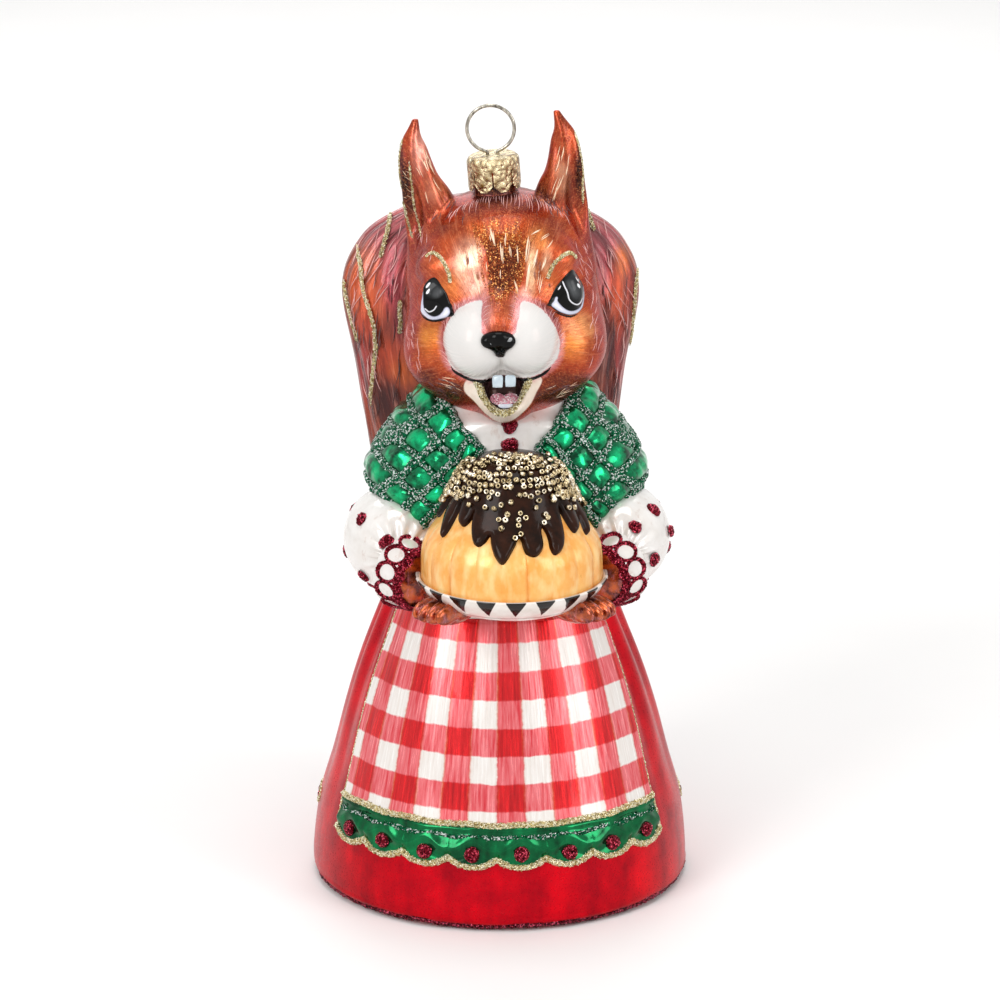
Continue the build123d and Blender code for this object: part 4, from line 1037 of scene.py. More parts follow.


# Oval spots of the fur's own colours with painted light among them: the darkest spots just under the crown cap are
# painted shadow, the dark spots under the cheeks and beside the jaw are painted shade, the cream spots on the
# forehead are painted reflections, and the amber spots on the cheeks and the pale pink spots on the ears' fronts are
# painted highlights
HEAD_SPOTS_AND_LIGHT = [
    (506, 192, 74, 11, "4c1c16", 1), (494, 190, 34, 8, "1c0a08", 1), (506, 204, 58, 11, "74393c", 0.9),
    (470, 216, 18, 8, "7c3a3a", 0.8), (420, 300, 12, 40, "b8605c", 0.4), (507, 226, 54, 17, "8c3008", 1),
    (474, 236, 10, 8, "b4521c", 0.8), (538, 238, 12, 9, "b85a20", 0.8), (468, 232, 22, 14, "c85a24", 0.6),
    (418, 245, 14, 34, "8e3a3c", 0.8), (444, 226, 12, 12, "94402a", 0.7), (556, 226, 12, 12, "9c4630", 0.7),
    (592, 240, 12, 36, "8e3a44", 0.85), (436, 262, 14, 13, "d0663a", 0.7), (566, 262, 14, 12, "d4683c", 0.7),
    (467, 266, 13, 25, "f0cdb0", 1), (476, 286, 10, 15, "f0b8a4", 0.9), (474, 254, 8, 13, "f4d6b8", 0.9),
    (450, 288, 12, 16, "dd7c3c", 0.9), (532, 268, 5, 26, "f2d0a4", 1), (540, 270, 5, 14, "a4541c", 0.8),
    (547, 262, 5, 18, "f0c49a", 0.7), (525, 296, 6, 9, "f0c8b8", 0.8), (548, 284, 10, 14, "e47c3c", 0.8),
    (540, 240, 12, 12, "e8944c", 0.7), (430, 338, 15, 17, "ea9440", 0.95), (418, 360, 12, 18, "b44a22", 0.8),
    (411, 325, 8, 34, "b4585c", 0.85), (436, 352, 14, 10, "cf6a2c", 0.6), (440, 360, 12, 12, "c4582a", 0.8),
    (580, 332, 17, 17, "f4b070", 1), (572, 346, 20, 14, "e8883a", 0.85), (596, 356, 12, 20, "b84c28", 0.8),
    (601, 318, 7, 32, "bc6468", 0.85), (560, 380, 26, 10, "6a2412", 0.9), (452, 392, 26, 11, "3a120a", 0.95),
    (556, 395, 34, 10, "43160c", 0.95), (425, 378, 14, 10, "52180e", 0.9), (590, 385, 18, 9, "5a2010", 0.9),
    (501, 312, 17, 20, "c8603c", 0.9), (497, 306, 12, 8, "8a4420", 0.6), (486, 310, 7, 20, "e49a94", 0.8),
    (517, 310, 6, 20, "e49a94", 0.8), (404.5, 186, 9, 30, "12040a", 1), (400, 160, 6, 16, "4a2a34", 0.8),
    (411, 205, 5, 14, "3a1414", 0.9), (420, 150, 8, 24, "e8a898", 0.9), (437, 158, 4, 18, "8a2c1c", 0.7),
    (429, 200, 5, 20, "6e2018", 0.7), (436, 182, 13, 22, "dc8468", 0.85), (452, 200, 14, 9, "7c2c1c", 0.8),
    (416, 124, 5, 7, "8a2c18", 0.9), (428, 222, 10, 16, "9c3c28", 0.8), (579, 174, 5, 34, "20080c", 1),
    (571, 190, 4, 22, "6e2418", 0.8), (553, 150, 4, 24, "8e3420", 0.6), (566, 150, 7, 26, "943e22", 0.85),
    (561, 178, 8, 16, "d0a080", 0.85), (553, 186, 8, 14, "c8603a", 0.7), (562, 118, 5, 7, "7c2a14", 0.9),
    (573, 205, 8, 14, "8c3420", 0.85), (545, 200, 12, 7, "4a1a14", 0.85),
]
MUZZLE_PX = [
    (482, 300.6), (471.4, 301.8), (459.2, 307.9), (452, 315.5), (445.3, 327.3), (442.9, 340.6), (446, 354),
    (450.8, 366), (459.2, 372.7), (469, 377.6), (478.6, 380), (487, 379.4), (492.6, 377.5), (500.5, 375), (515, 377),
    (522.3, 378.2), (532, 377), (541.7, 373), (550.2, 366.9), (557.4, 358.8), (559.8, 346.7), (558.6, 334.5),
    (551.4, 320), (541.7, 309), (530.8, 302.4), (521, 302), (519.2, 314), (517, 325), (514, 334), (499, 338),
    (483, 334), (481.6, 322), (481.8, 310),
]
STRIPE_PX = [
    (472, 226), (477, 240), (480, 252), (484, 266), (485, 280), (489, 292), (496, 301), (508, 300), (513, 294),
    (520, 291), (525, 276), (527, 262), (530, 248), (534, 234), (524, 234), (514, 224), (503, 230), (494, 217),
    (484, 226),
]
CORE_PX = [
    (485, 246), (486.5, 262), (488, 280), (495, 292), (505, 290), (513, 282), (519, 268), (520.5, 254), (514, 246),
    (505, 252), (496, 243),
]
MOUTH_PX = [
    (477, 379.5), (483, 388), (486, 394), (489, 401), (497, 408), (504, 409.5), (512, 408), (518.5, 400), (521, 391),
    (524, 386), (530, 378.5), (521, 376), (500, 373), (485, 377),
]
JAW_PX = [
    (466, 381), (464.5, 391), (474, 401), (486, 414), (500, 422.5), (514, 419.5), (529, 406), (536, 393), (542, 379),
    (530, 374), (500, 372), (478, 376),
]
FAR_OUTSIDE_PX = 40.0
tint, head_px, facing = airbrush(head_v, head_n, mottle(head_v, "a63a20", "cc5426", 0.16, 5.0), HEAD_SPOTS_AND_LIGHT, -0.22)
q = to_head(head_v)
above, behind, over_mouth = q[:, 2] > 21, q[:, 1] > -8, q[:, 2] > -4
turned_away = np.where(facing > 0.02, 0.0, FAR_OUTSIDE_PX)
masks = {
    name: line_distance(head_px, curve(outline, 160, closed=True), True) + turned_away
    for name, outline in (
        ("white_d", MUZZLE_PX), ("stripe_d", STRIPE_PX), ("core_d", CORE_PX), ("jaw_d", JAW_PX), ("mouth_d", MOUTH_PX)
    )
}
for name, out_of_reach in (
    ("white_d", behind), ("stripe_d", above), ("core_d", above),
    ("jaw_d", behind | over_mouth), ("mouth_d", behind | over_mouth),
):
    masks[name][out_of_reach] = FAR_OUTSIDE_PX
masks["jaw_d"][masks["white_d"] < 0] = FAR_OUTSIDE_PX / 2

# Fur runs away from the nose
from_nose = np.arccos(np.clip(-unit(q + [0, 4, 0])[:, 1], -1, 1))
flow = np.stack([np.arctan2(q[:, 0], q[:, 2] + 2.0), from_nose, 0 * from_nose], -1)
p = Paint("fur_lacquer", Specular_Tint="d07a68", **clear_coat(0.24))
tint_in = p.held("tint", "Color")
streak = p.noise(1.0, 6.0, 0.68, p.held("flow", "Vector"), (26.0, 3.2, 1.0), 0.35)
stroke = p.noise(1.0, 4.0, 0.6, p.held("flow", "Vector"), (20.0, 2.0, 1.0))
cloud = p.noise(0.28, 5.0, 0.62)
speck = p.noise(3.4, 2.0, 0.7)
shade, spark, pepper, _ = p.grains(5.2)
light = p.mix(0.5, tint_in, "f2a884", "SCREEN")
dark = p.mix(0.75, tint_in, "a0442c", "MULTIPLY")
tone = p.mix(p.band(cloud, 0.33, 0.66), dark, tint_in)
tone = p.mix(p.band(streak, 0.55, 0.74, 0.0, 0.5), tone, light)
tone = p.mix(p.band(streak, 0.46, 0.3, 0.0, 0.6), tone, dark)
tone = p.mix(p.band(speck, 0.58, 0.72, 0.0, 0.35), tone, light)
# The glittering stripe over the nose, with a dark core and a ragged edge
brown = p.mix(p.band(shade, 0.15, 0.95), "541a06", "b0541a")
core = p.mix(p.band(shade, 0.35, 1.0), "120402", "6c2e0a")
brown = p.mix(p.band(p.held("core_d"), 8.0, -3.0), brown, core)
brown = p.mix(p.band(spark, 0.9, 0.96), brown, "f0b868")
ragged = p.plus(p.band(stroke, 0.35, 0.7, -6.0, 9.0), p.times(p.minus(pepper, 0.5), 7.0))
stripe = p.band(p.plus(p.held("stripe_d"), ragged), 1.2, -1.2)
tone = p.mix(p.times(stripe, 0.9), tone, brown)
tone = p.mix(p.band(spark, 0.7, 0.9, 0.0, 0.28), tone, "f0925c")
# The cream jaw, and the white muzzle with its blushing rim
jaw = p.band(p.held("jaw_d"), 0.6, -0.6)
tone = p.mix(jaw, tone, p.mix(p.band(cloud, 0.3, 0.7), "f0e4d6", "e4d0be"))
ragged = p.band(stroke, 0.35, 0.7, -0.8, 2.6)
blush = p.band(p.plus(p.held("white_d"), ragged), 7.5, 1.0)
tone = p.mix(p.times(blush, 0.72), tone, "e09498")
white = p.band(p.plus(p.held("white_d"), p.times(ragged, 0.35)), 0.7, -0.5)
tone = p.mix(white, tone, "dcdad7")
not_white = p.minus(1.0, white)
tone = p.mix(p.times(p.band(p.held("mouth_d"), 0.5, -0.5), not_white), tone, "160c0c")
metal = p.times(not_white, p.minus(1.0, jaw))
relief = p.bump(p.times(streak, metal), 0.35, 0.0005)
fur_paint = p.finish(tone, streak, 0.14, 0.36, relief, Metallic=p.times(metal, 0.68))
nodes = "head", "neck", "muzzle", "lower_jaw", "ear_left", "ear_right", "mouth"
glass("head_glass", (head_v, head_faces), fur_paint, "fur_glass", *nodes, tint=with_alpha(tint), flow=flow, **masks)


def face_strips(lines, width, rise, count, lift=0.0, field=head_field, **more):
    """Strips along lines drawn in pixels. Points that miss the surface are left out."""
    parts = []
    for line_px in lines:
        path = cast(curve(line_px, count), field)
        path = path[~np.isnan(path[:, 0])]
        normals = unit(slope(field, path))
        parts.append(strip(path + normals * lift, normals, width, rise, **more))
    return parts


def face_patch(name, outline, rise, material, slot, *nodes, lines=None, **more):
    """A domed spot on the face, which may carry distances in pixels to outlines (.._d) and lines (.._l) on it."""
    mesh, px = patch(outline, head_field, rise, **more)
    held = {}
    for key, drawn in (lines or {}).items():
        closed = key.endswith("_d")
        held[key] = np.min([line_distance(px, curve(one, 90 if closed else 40, closed), closed) for one in drawn], 0)
    glass(name, mesh, material, slot, *nodes, **held)


black_gloss = enamel("black_enamel", "010101", "040303", 0.1, 0.1)
# White enamel of the painted highlight on the tongue
highlight_gloss = enamel("eye_white", "f2f4f8", "d2d8ea", 0.12)
# Grey enamel of the nose's painted highlights
shine_gloss = enamel("nose_shine", "9a9c9e", "6c6e70", 0.16, 0.3)
tooth_gloss = enamel("tooth_enamel", "ccd8de", "a9bac6", 0.16)
pink_glitter = glitter("tongue_glitter", "d07088", "f0a4b4", "ffe6ea", metal=0.3)

NOSE_PX = [
    (499.2, 331), (491, 331.6), (484.7, 334), (481.2, 338), (480.9, 343), (483.6, 347), (488, 349), (492.6, 351.4),
    (496, 355), (499.8, 357), (503.6, 355), (507.4, 350.8), (512.4, 347.4), (515.6, 342.6), (515, 338),
    (511.6, 333.8), (506, 331.6),
]
# Painted highlights on the nose, drawn in pixels
NOSE_SHINE_PX = [
    [(487.4, 343), (490.4, 340.4), (497, 338.4), (497.4, 339.4), (491.4, 341.6), (488.4, 343.8)],
    [(510.6, 340.6), (512.4, 337.8), (514.8, 338.4), (513.6, 341)],
]
face_patch("nose_tip", NOSE_PX, 1.7, black_gloss, "black_enamel", "nose", power=2.6, rings=12)
EYE_PX = {
    "right": [
        (433, 276.9), (428.4, 279.4), (424, 285), (422.8, 290), (421.8, 297), (420.8, 303), (420.4, 310),
        (421.8, 313.8), (425.2, 317.2), (429.5, 319.8), (434.7, 320.6), (440.4, 319.9), (446.7, 317.9),
        (453.8, 315.6), (452.3, 306), (449.8, 301), (446.7, 293), (442, 286), (438.9, 281), (436, 277.7),
    ],
    "left": [
        (572.3, 269.1), (566.6, 273.6), (562, 279), (558.6, 283), (555.3, 287.4), (551.8, 294.5), (547.4, 305),
        (551, 307), (554.2, 310), (559.7, 313), (566, 315.3), (571.4, 315.6), (577.7, 313.5), (582.5, 308.2),
        (584.3, 301), (584.8, 294.5), (583.8, 287), (582.2, 282.3), (578.8, 276.4), (575.8, 271.6),
    ],
}
# Painted reflections: the grey sheen in the upper part of each eye
SHEEN_PX = {
    "right": [
        (432, 278.4), (427.4, 284), (425.6, 291), (427, 296), (433, 298.5), (440, 297.5), (444.6, 292.6),
        (441.4, 286.4), (437.6, 280.6),
    ],
    "left": [
        (572, 271), (567, 275.6), (563.8, 281.4), (566.4, 288), (569.6, 296), (572.6, 300.6), (577, 301.8),
        (581.4, 298), (582.8, 291), (581, 283.4), (576.8, 275),
    ],
}
WHITE_PX = {
    "right": [
        (423.2, 291.5), (421.9, 299), (421, 307), (421.4, 312), (424.6, 316), (429.2, 319), (434.7, 319.8),
        (442, 318.4), (447.6, 316.6), (450.6, 313), (449.6, 308.6), (447.4, 307), (445.2, 308.4), (443.6, 311.2),
        (439.9, 315), (434.7, 316.4), (430, 314.8), (426.6, 311.8), (424.5, 308), (423.5, 302), (423.4, 296),
    ],
    "left": [
        (551, 305), (553.6, 301), (555.2, 297), (557.6, 297.2), (556.9, 300.2), (559.4, 304), (563.7, 307.9),
        (567.3, 310.2), (571.7, 310.9), (576.3, 309.5), (580.3, 305.8), (582.4, 300), (583, 292), (582.8, 285),
        (583.8, 289), (584.1, 295), (583.5, 301), (581.8, 307.4), (577.4, 312.6), (571.2, 314.5), (566, 314),
        (559.7, 311.6), (554.5, 308.2),
    ],
}
# Painted highlights: the white sparks in each eye
SPARK_PX = {
    "right": [
        [(430.8, 281.6), (428.2, 284), (425.8, 287.6), (427.6, 287.8), (430.2, 284.6)],
        [(429.6, 289), (427, 291.6), (426.6, 293.8), (428.6, 293.2), (429.8, 290.6)],
    ],
    "left": [
        [(575.6, 276.2), (575.4, 278.4), (577.4, 281.6), (579.2, 283.2), (578, 279.6)],
        [(576.8, 283.8), (576.9, 286), (578.6, 288), (579.4, 287.2), (578.4, 284.6)],
        [(560.8, 285.6), (558.6, 288), (558, 289.8), (560, 288.2)],
    ],
}
# Painted highlights: thin white arcs in each eye
EYE_HIGHLIGHT_ARC_PX = {
    "right": [
        [(425.6, 308.4), (429.4, 311.2), (433.8, 309.6), (436.6, 306)],
    ],
    "left": [
        [
            (562.6, 281.6), (564.9, 287), (566.9, 291), (568, 295), (568.9, 298.6), (571.7, 302), (576.3, 304),
            (579.8, 302), (582, 297.4),
        ],
    ],
}
# Painted reflections: lighter grey lines within each eye's sheen
EYE_REFLECTION_PX = {
    "right": [
        [(437.5, 297), (438.5, 293), (441.5, 292)],
    ],
    "left": [
        [(569.6, 286), (574, 292)],
    ],
}
# The eyes: black paint with white crescents, and painted light on them. The grey sheen and its lighter lines are
# painted reflections, and the white arcs and sparks are painted highlights
p = Paint("eye_enamel", **clear_coat(0.12, 0.04, 0.12))
brush = p.band(p.noise(1.2, 4.0, 0.6, stretch=(1, 1, 0.4)), 0.25, 0.75, 0.6, 1.0)
sheen = p.times(p.band(p.held("sheen_d"), 0.6, -3.5), brush)
tone = p.mix(sheen, "010101", "2c2e30")
tone = p.mix(p.times(sheen, p.band(p.held("gloss_l"), 7.0, 0.0)), tone, "56585a")
eyeball = p.mix(p.band(p.held("white_d"), -0.4, -3.0), "c9cbe0", "f4f5fa")
tone = p.mix(p.band(p.held("white_d"), 0.45, -0.45), tone, eyeball)
tone = p.mix(p.band(p.held("arc_l"), 0.85, 0.4), tone, "e2e4ea")
tone = p.mix(p.band(p.held("spark_d"), 0.4, -0.3), tone, "f8f9fc")
eye_paint = p.finish(tone, p.noise(1.5), 0.08, 0.16, p.bump(p.noise(0.8, 2.0), 0.08, 0.0002))
for name, outline in EYE_PX.items():
    lines = {
        "white_d": [WHITE_PX[name]], "sheen_d": [SHEEN_PX[name]], "spark_d": SPARK_PX[name],
        "arc_l": EYE_HIGHLIGHT_ARC_PX[name], "gloss_l": EYE_REFLECTION_PX[name],
    }
    piece = f"eye_{name}_enamel", outline, 0.3, eye_paint, "black_enamel", f"eye_{name}"
    face_patch(*piece, lines=lines, rings=52, spokes=200)
LID_LINES_PX = [
    [(420.8, 312.6), (424.8, 317.4), (429.5, 320.2), (434.7, 321), (441, 320.2), (447, 318.4)],
    [(554.4, 311), (559.7, 313.8), (566, 316), (571.4, 316.4), (577.7, 314.2)],
    [(449.6, 303), (451.4, 307.6), (454.4, 315.8)],
    [(552.4, 300), (549.6, 303.4), (546.6, 305.6)],
]
MOUTH_LINES_PX = [
    [(450.8, 365.4), (453.6, 370.4), (459.2, 374.2), (469, 378.9), (479, 381.4), (487, 380.8), (493, 378.2)],
    [(514.6, 377.8), (522.3, 379.8), (532, 378.8), (541.7, 374.8), (548, 370.2), (551.2, 366)],
]
lids = face_strips(LID_LINES_PX, 0.34, 0.16, 40, 0.2, ends=0.2, sink=0.08, across=5)
lips = face_strips(MOUTH_LINES_PX, 0.75, 0.36, 40, 0.1, ends=0.2, across=5)
glass("face_lines", merge(lids + lips), black_gloss, "black_enamel")

TEETH_PX = [
    [(492.8, 376.6), (492.8, 386), (494, 387.4), (501.4, 387.4), (502.7, 386.2), (502.7, 376), (498, 375)],
    [(505.4, 376), (505.4, 385.6), (506.6, 386.8), (513.6, 386.6), (515.3, 385), (515.3, 376.4), (510, 375)],
]
teeth = [patch(spots, teeth_field, 0.5, rings=6, power=6.0, spokes=64)[0] for spots in TEETH_PX]
glass("teeth_enamel", merge(teeth), tooth_gloss, "white_enamel", "teeth")
TONGUE_PX = [
    (490.2, 397.6), (493.2, 393.9), (499.2, 393), (504, 395), (509, 393), (515, 393.3), (518.6, 397), (517.6, 401.6),
    (512, 404.6), (498, 405), (491.4, 402),
]
# Painted highlight along the tongue's lower edge
TONGUE_HIGHLIGHT_PX = [(498, 404.6), (500, 407.6), (506, 408.2), (512, 406.8), (512.6, 404), (505, 404.2)]
face_patch("tongue_pad", TONGUE_PX, 0.8, pink_glitter, "tongue_glitter", "tongue", rings=8)
face_patch("tongue_highlight", TONGUE_HIGHLIGHT_PX, 0.25, highlight_gloss, "white_enamel", lift=0.1, rings=4, spokes=40)
JAW_LINE_PX = [
    (475, 381), (479.4, 388), (483.6, 397), (490, 406.4), (499, 412.4), (509, 412), (517.4, 405), (522.4, 396),
    (526, 387), (530.4, 378.6),
]
jaw_line = merge(face_strips([JAW_LINE_PX], 1.6, 0.55, 150, 0.02, jitter=0.08))
glass("jaw_glitter", jaw_line, gold_glitter, "gold_glitter", "jaw_line")
# The nose's painted highlights, laid just over its tip
for k, spot in enumerate(NOSE_SHINE_PX):
    face_patch(f"nose_shine_{k}", spot, 0.03, shine_gloss, "black_enamel", lift=1.62, rings=3, spokes=30, sink=0.02)
BROWS_PX = [
    [
        (426, 256.6), (430, 253.4), (434.7, 253.2), (440.4, 257.8), (444.4, 264), (447.3, 270), (449.4, 276),
        (449.8, 282.4),
    ],
    [(547.4, 278.4), (550.5, 271), (554, 264), (559, 259), (564.9, 254.4), (570.6, 252.8), (576, 257)],
]
brows = merge(face_strips(BROWS_PX, 1.0, 0.42, 80, jitter=0.06))
glass("brow_glitter", brows, gold_glitter, "gold_glitter", "brow_lines")
EAR_LINES_PX = [
    [(411, 121), (405, 132), (401, 146), (399.4, 160), (400, 176), (402, 190)],
    [(402, 196), (405.4, 212), (409, 226), (413, 240)],
    [(409, 160), (410.6, 176), (412.6, 192), (415, 210), (420, 228), (421, 240)],
    [(571, 122), (576, 136), (580, 152), (583, 172), (582.6, 192), (583, 206)],
]
ear_lines = merge(face_strips(EAR_LINES_PX, 0.62, 0.32, 70, jitter=0.07, ends=0.1))
glass("ear_glitter", ear_lines, gold_glitter, "gold_glitter")

# Painted hairs: thin tapered strokes of pale and dark enamel
hair_pale = enamel("hair_pale", "e8b8b4", "d49a98")
hair_cream = enamel("hair_cream", "f4dcc0", "eccaa4")
hair_dark = enamel("hair_dark", "3a1418", "54202a")
hair_brown = enamel("hair_brown", "7a3410", "a0501c")


def hairs(name, rows, material, slot="fur_glass", field=head_field):
    """Strokes given as (x, y, length, angle, bow, width in mm), in pixels and radians. Grazing ones are left out."""
    t = np.linspace(0, 1, 7)
    x, y, length, angle, bow, wide = (np.array(column)[:, None] for column in zip(*rows))
    dx, dy = length * np.cos(angle), length * np.sin(angle)
    arch = bow * 4 * t * (1 - t)
    at = cast(np.stack([x + dx * t - dy * arch, y + dy * t + dx * arch], -1).reshape(-1, 2), field)
    parts = []
    for path, width in zip(at.reshape(-1, len(t), 3), wide[:, 0]):
        if np.isnan(path).any() or np.linalg.norm(np.diff(path, axis=0), axis=1).max() > 2.5:
            continue
        normals = unit(slope(field, path))
        if (normals @ CAM_AHEAD).max() <= -0.2:
            parts.append(strip(path, normals, width, 0.1, across=5, sink=0.02, ends=0.45))
    glass(name, merge(parts), material, slot)


def spray(count, centre, spread, length, angle, angle_spread, wide=(0.14, 0.26)):
    """Random strokes round a centre, all leaning about one way. Angle 0 points right and 90 down."""
    rows = []
    for _ in range(count):
        x = centre[0] + rng.uniform(-1, 1) * spread[0]
        y = centre[1] + rng.uniform(-1, 1) * spread[1]
        a = math.radians(angle + rng.uniform(-1, 1) * angle_spread)
        rows.append((x, y, rng.uniform(*length), a, rng.uniform(-0.08, 0.08), rng.uniform(*wide)))
    return rows


def sprays(*many, wide=(0.14, 0.26)):
    return [row for one in many for row in spray(*one, wide=wide)]


# The fringe starts on the arch of the crown, between two columns
FRINGE_LEFT = 453
FRINGE_WIDE = 110
FRINGE_LOW = 216
rows = []
for x in np.arange(FRINGE_LEFT, FRINGE_LEFT + FRINGE_WIDE, 2.5):
    t = (x - FRINGE_LEFT) / FRINGE_WIDE
    top = FRINGE_LOW - 25 * math.sin(math.pi * min(max(t, 0.02), 0.98)) ** 0.62 + rng.uniform(-0.5, 2.5)
    length = rng.uniform(7, 19)
    a = math.radians(90 - (t - 0.5) * 70 + rng.uniform(-7, 7))
    rows.append((x, top, length, a, 0.1 * np.sign(0.5 - t), rng.uniform(0.1, 0.2)))
hairs("fringe_hairs", rows, hair_pale)
# The rim of the muzzle, the sides of the nose, the cheeks and the temples
rows = []
for outline, way in ((curve(MUZZLE_PX[1:9], 30), 1), (curve(MUZZLE_PX[17:26], 30), -1)):
    for x, y in outline:
        a = math.atan2(y - 340, x - 500) + way * rng.uniform(0.7, 1.3)
        rows.append((x, y, rng.uniform(6, 13), a, 0.12 * way, rng.uniform(0.08, 0.15)))
for side in (-1, 1):
    for y in np.arange(299, 331, 3.2):
        x = 482 if side < 0 else 520.5 - (y - 302) * 0.2
        dx, dy = -side * rng.uniform(5, 11), -rng.uniform(2, 8)
        rows.append((x, y, math.hypot(dx, dy), math.atan2(dy, dx), 0.1 * side, rng.uniform(0.08, 0.14)))
rows += sprays(
    (20, (412, 325), (6, 38), (9, 18), 82, 14), (20, (598, 320), (6, 40), (9, 18), 98, 14),
    (24, (584, 264), (10, 24), (8, 18), 62, 18), (12, (424, 240), (10, 16), (8, 15), 110, 25), wide=(0.08, 0.18),
)
hairs("rim_hairs", rows, hair_pale)
rows = sprays(
    (9, (444, 384), (12, 7), (8, 14), 24, 14), (10, (568, 388), (16, 7), (8, 14), 156, 14), wide=(0.06, 0.12)
)
rows += sprays((14, (425, 165), (10, 26), (9, 20), 70, 12), (12, (563, 165), (7, 26), (9, 20), 105, 10))
rows += spray(9, (404, 178), (4, 20), (4, 9), 40, 20, wide=(0.08, 0.14))
# Cream strokes on the forehead: start, end and count
CREAM_PX = (
    (491, 227, 494.5, 244, 4), (490, 229, 491, 236, 2), (501.6, 243, 502.4, 263, 3), (509.8, 245, 511, 257, 2),
    (517, 246, 518.4, 262, 3), (505.4, 236, 506, 246, 2), (529, 236, 525.6, 262, 4), (531, 234, 540, 230, 2),
    (530, 262, 526, 292, 6), (538, 250, 533, 266, 4), (540, 240, 549, 234, 3), (541, 274, 538, 292, 3),
    (514.6, 282, 518.6, 294, 3), (547, 248, 553, 240, 2), (546, 258, 542, 270, 3), (486, 262, 487, 272, 2),
    (498, 270, 499, 280, 1), (471, 244, 477, 262, 5), (459, 250, 463, 272, 5), (473, 268, 480, 292, 5),
)
for x, y, end_x, end_y, count in CREAM_PX:
    for _ in range(count):
        shift = rng.normal(0, 0.9, 2)
        dx, dy = end_x - x - 0.4 * shift[0], end_y - y
        at = x + shift[0], y + 2 * shift[1]
        rows.append((*at, math.hypot(dx, dy), math.atan2(dy, dx), rng.uniform(-0.05, 0.05), rng.uniform(0.14, 0.3)))
hairs("fur_streaks", rows, hair_cream)
rows = sprays(
    (20, (438, 386), (14, 8), (8, 14), 24, 16), (22, (572, 390), (18, 8), (8, 14), 156, 16),
    (14, (452, 206), (16, 8), (7, 15), 115, 26), (14, (548, 202), (18, 8), (7, 15), 62, 26),
)
hairs("dark_streaks", rows, hair_dark)
# Brown strokes beside the stripe: start and height
BROWN_PX = (
    (467, 252, 14), (468.4, 257, 9), (477.4, 272, 8), (478.4, 275, 6), (536, 256, 12), (540, 262, 10), (539, 270, 9),
    (549, 284, 6), (535.4, 272, 10),
)
rows = []
for x, y, down in BROWN_PX:
    for _ in range(3):
        at = x + rng.normal(0, 0.6), y + rng.normal(0, 1.2)
        rows.append((*at, math.hypot(0.6, down), math.atan2(down, 0.6), 0.04, rng.uniform(0.16, 0.32)))
hairs("brown_streaks", rows, hair_brown)

# Tail: a plume of long locks behind the figure, with gold lines

TAIL_LOW = 26.0
TAIL_TALL = 107.2
TAIL_HIGH = TAIL_LOW + TAIL_TALL
TAIL_SIDE = -0.6
# Height, half-width, half-depth and distance backwards, as shares of the tail's
TAIL_ROWS = [
    (0.0, 0.12, 0.22, 1.1), (0.05, 0.26, 0.4, 1.1), (0.2, 0.48, 0.62, 1.04), (0.36, 0.68, 0.78, 0.96),
    (0.52, 0.82, 0.92, 0.90), (0.68, 0.91, 0.98, 0.92), (0.83, 1.0, 1.0, 1.0), (0.92, 0.87, 0.9, 1.05),
    (0.968, 0.64, 0.66, 1.07), (0.99, 0.38, 0.4, 1.08), (1.0, 0.16, 0.17, 1.08),
]
tail_line = sections(np.array(TAIL_ROWS) * (TAIL_TALL, 30.4, 14.0, 28.0) + (TAIL_LOW, 0, 0, 0))


def locks(angle, z):
    """Relief of the tail's locks: long wavy ridges that lean outwards at the top."""
    sway = 0.6 * np.sin(z / 15.0) + 0.25 * np.sin(z / 6.5 + 2 * angle) + 0.3 * np.sin(3 * angle + z / 24.0)
    broad = np.abs(np.sin(angle * 9 + sway * 2.6))
    narrow = np.abs(np.sin(angle * 23 - sway * 3.4 + 0.13 * z))
    calm = 0.35 + 0.65 * (0.5 + 0.5 * np.sin(2.3 * angle + z / 11.0))
    return 0.6 * (broad**0.8 - 0.8) + 0.2 * calm * (narrow - 0.7)


def on_tail(angle, z, out=0.0):
    """Points of the tail at an angle from +X towards the back, pushed out, and the normals there."""
    w, d, back = tail_line(z)
    p = np.stack([TAIL_SIDE + w * np.cos(angle), back + d * np.sin(angle), z + 0 * angle], -1)
    n = unit(np.stack([np.cos(angle) / w, np.sin(angle) / d, 0 * angle], -1))
    h = 0.5
    w2, d2, b2 = tail_line(np.clip(z + h, TAIL_LOW, TAIL_HIGH))
    w1, d1, b1 = tail_line(np.clip(z - h, TAIL_LOW, TAIL_HIGH))
    rise = (w2 - w1) * np.cos(angle) ** 2 + ((d2 - d1) * np.sin(angle) + (b2 - b1)) * np.sin(angle)
    n[..., 2] = -np.clip(rise / (2 * h), -3, 3)
    n = unit(n)
    return p + n * np.asarray(out)[..., None], n


def tail_field(p):
    x, y, z = p.T
    w, d, back = tail_line(z)
    return np.maximum(oval(x - TAIL_SIDE, y - back, w, d), np.maximum(z - TAIL_HIGH, TAIL_LOW - z)) + 0.25


def tail_top(p):
    return tail_field(p) - 0.35


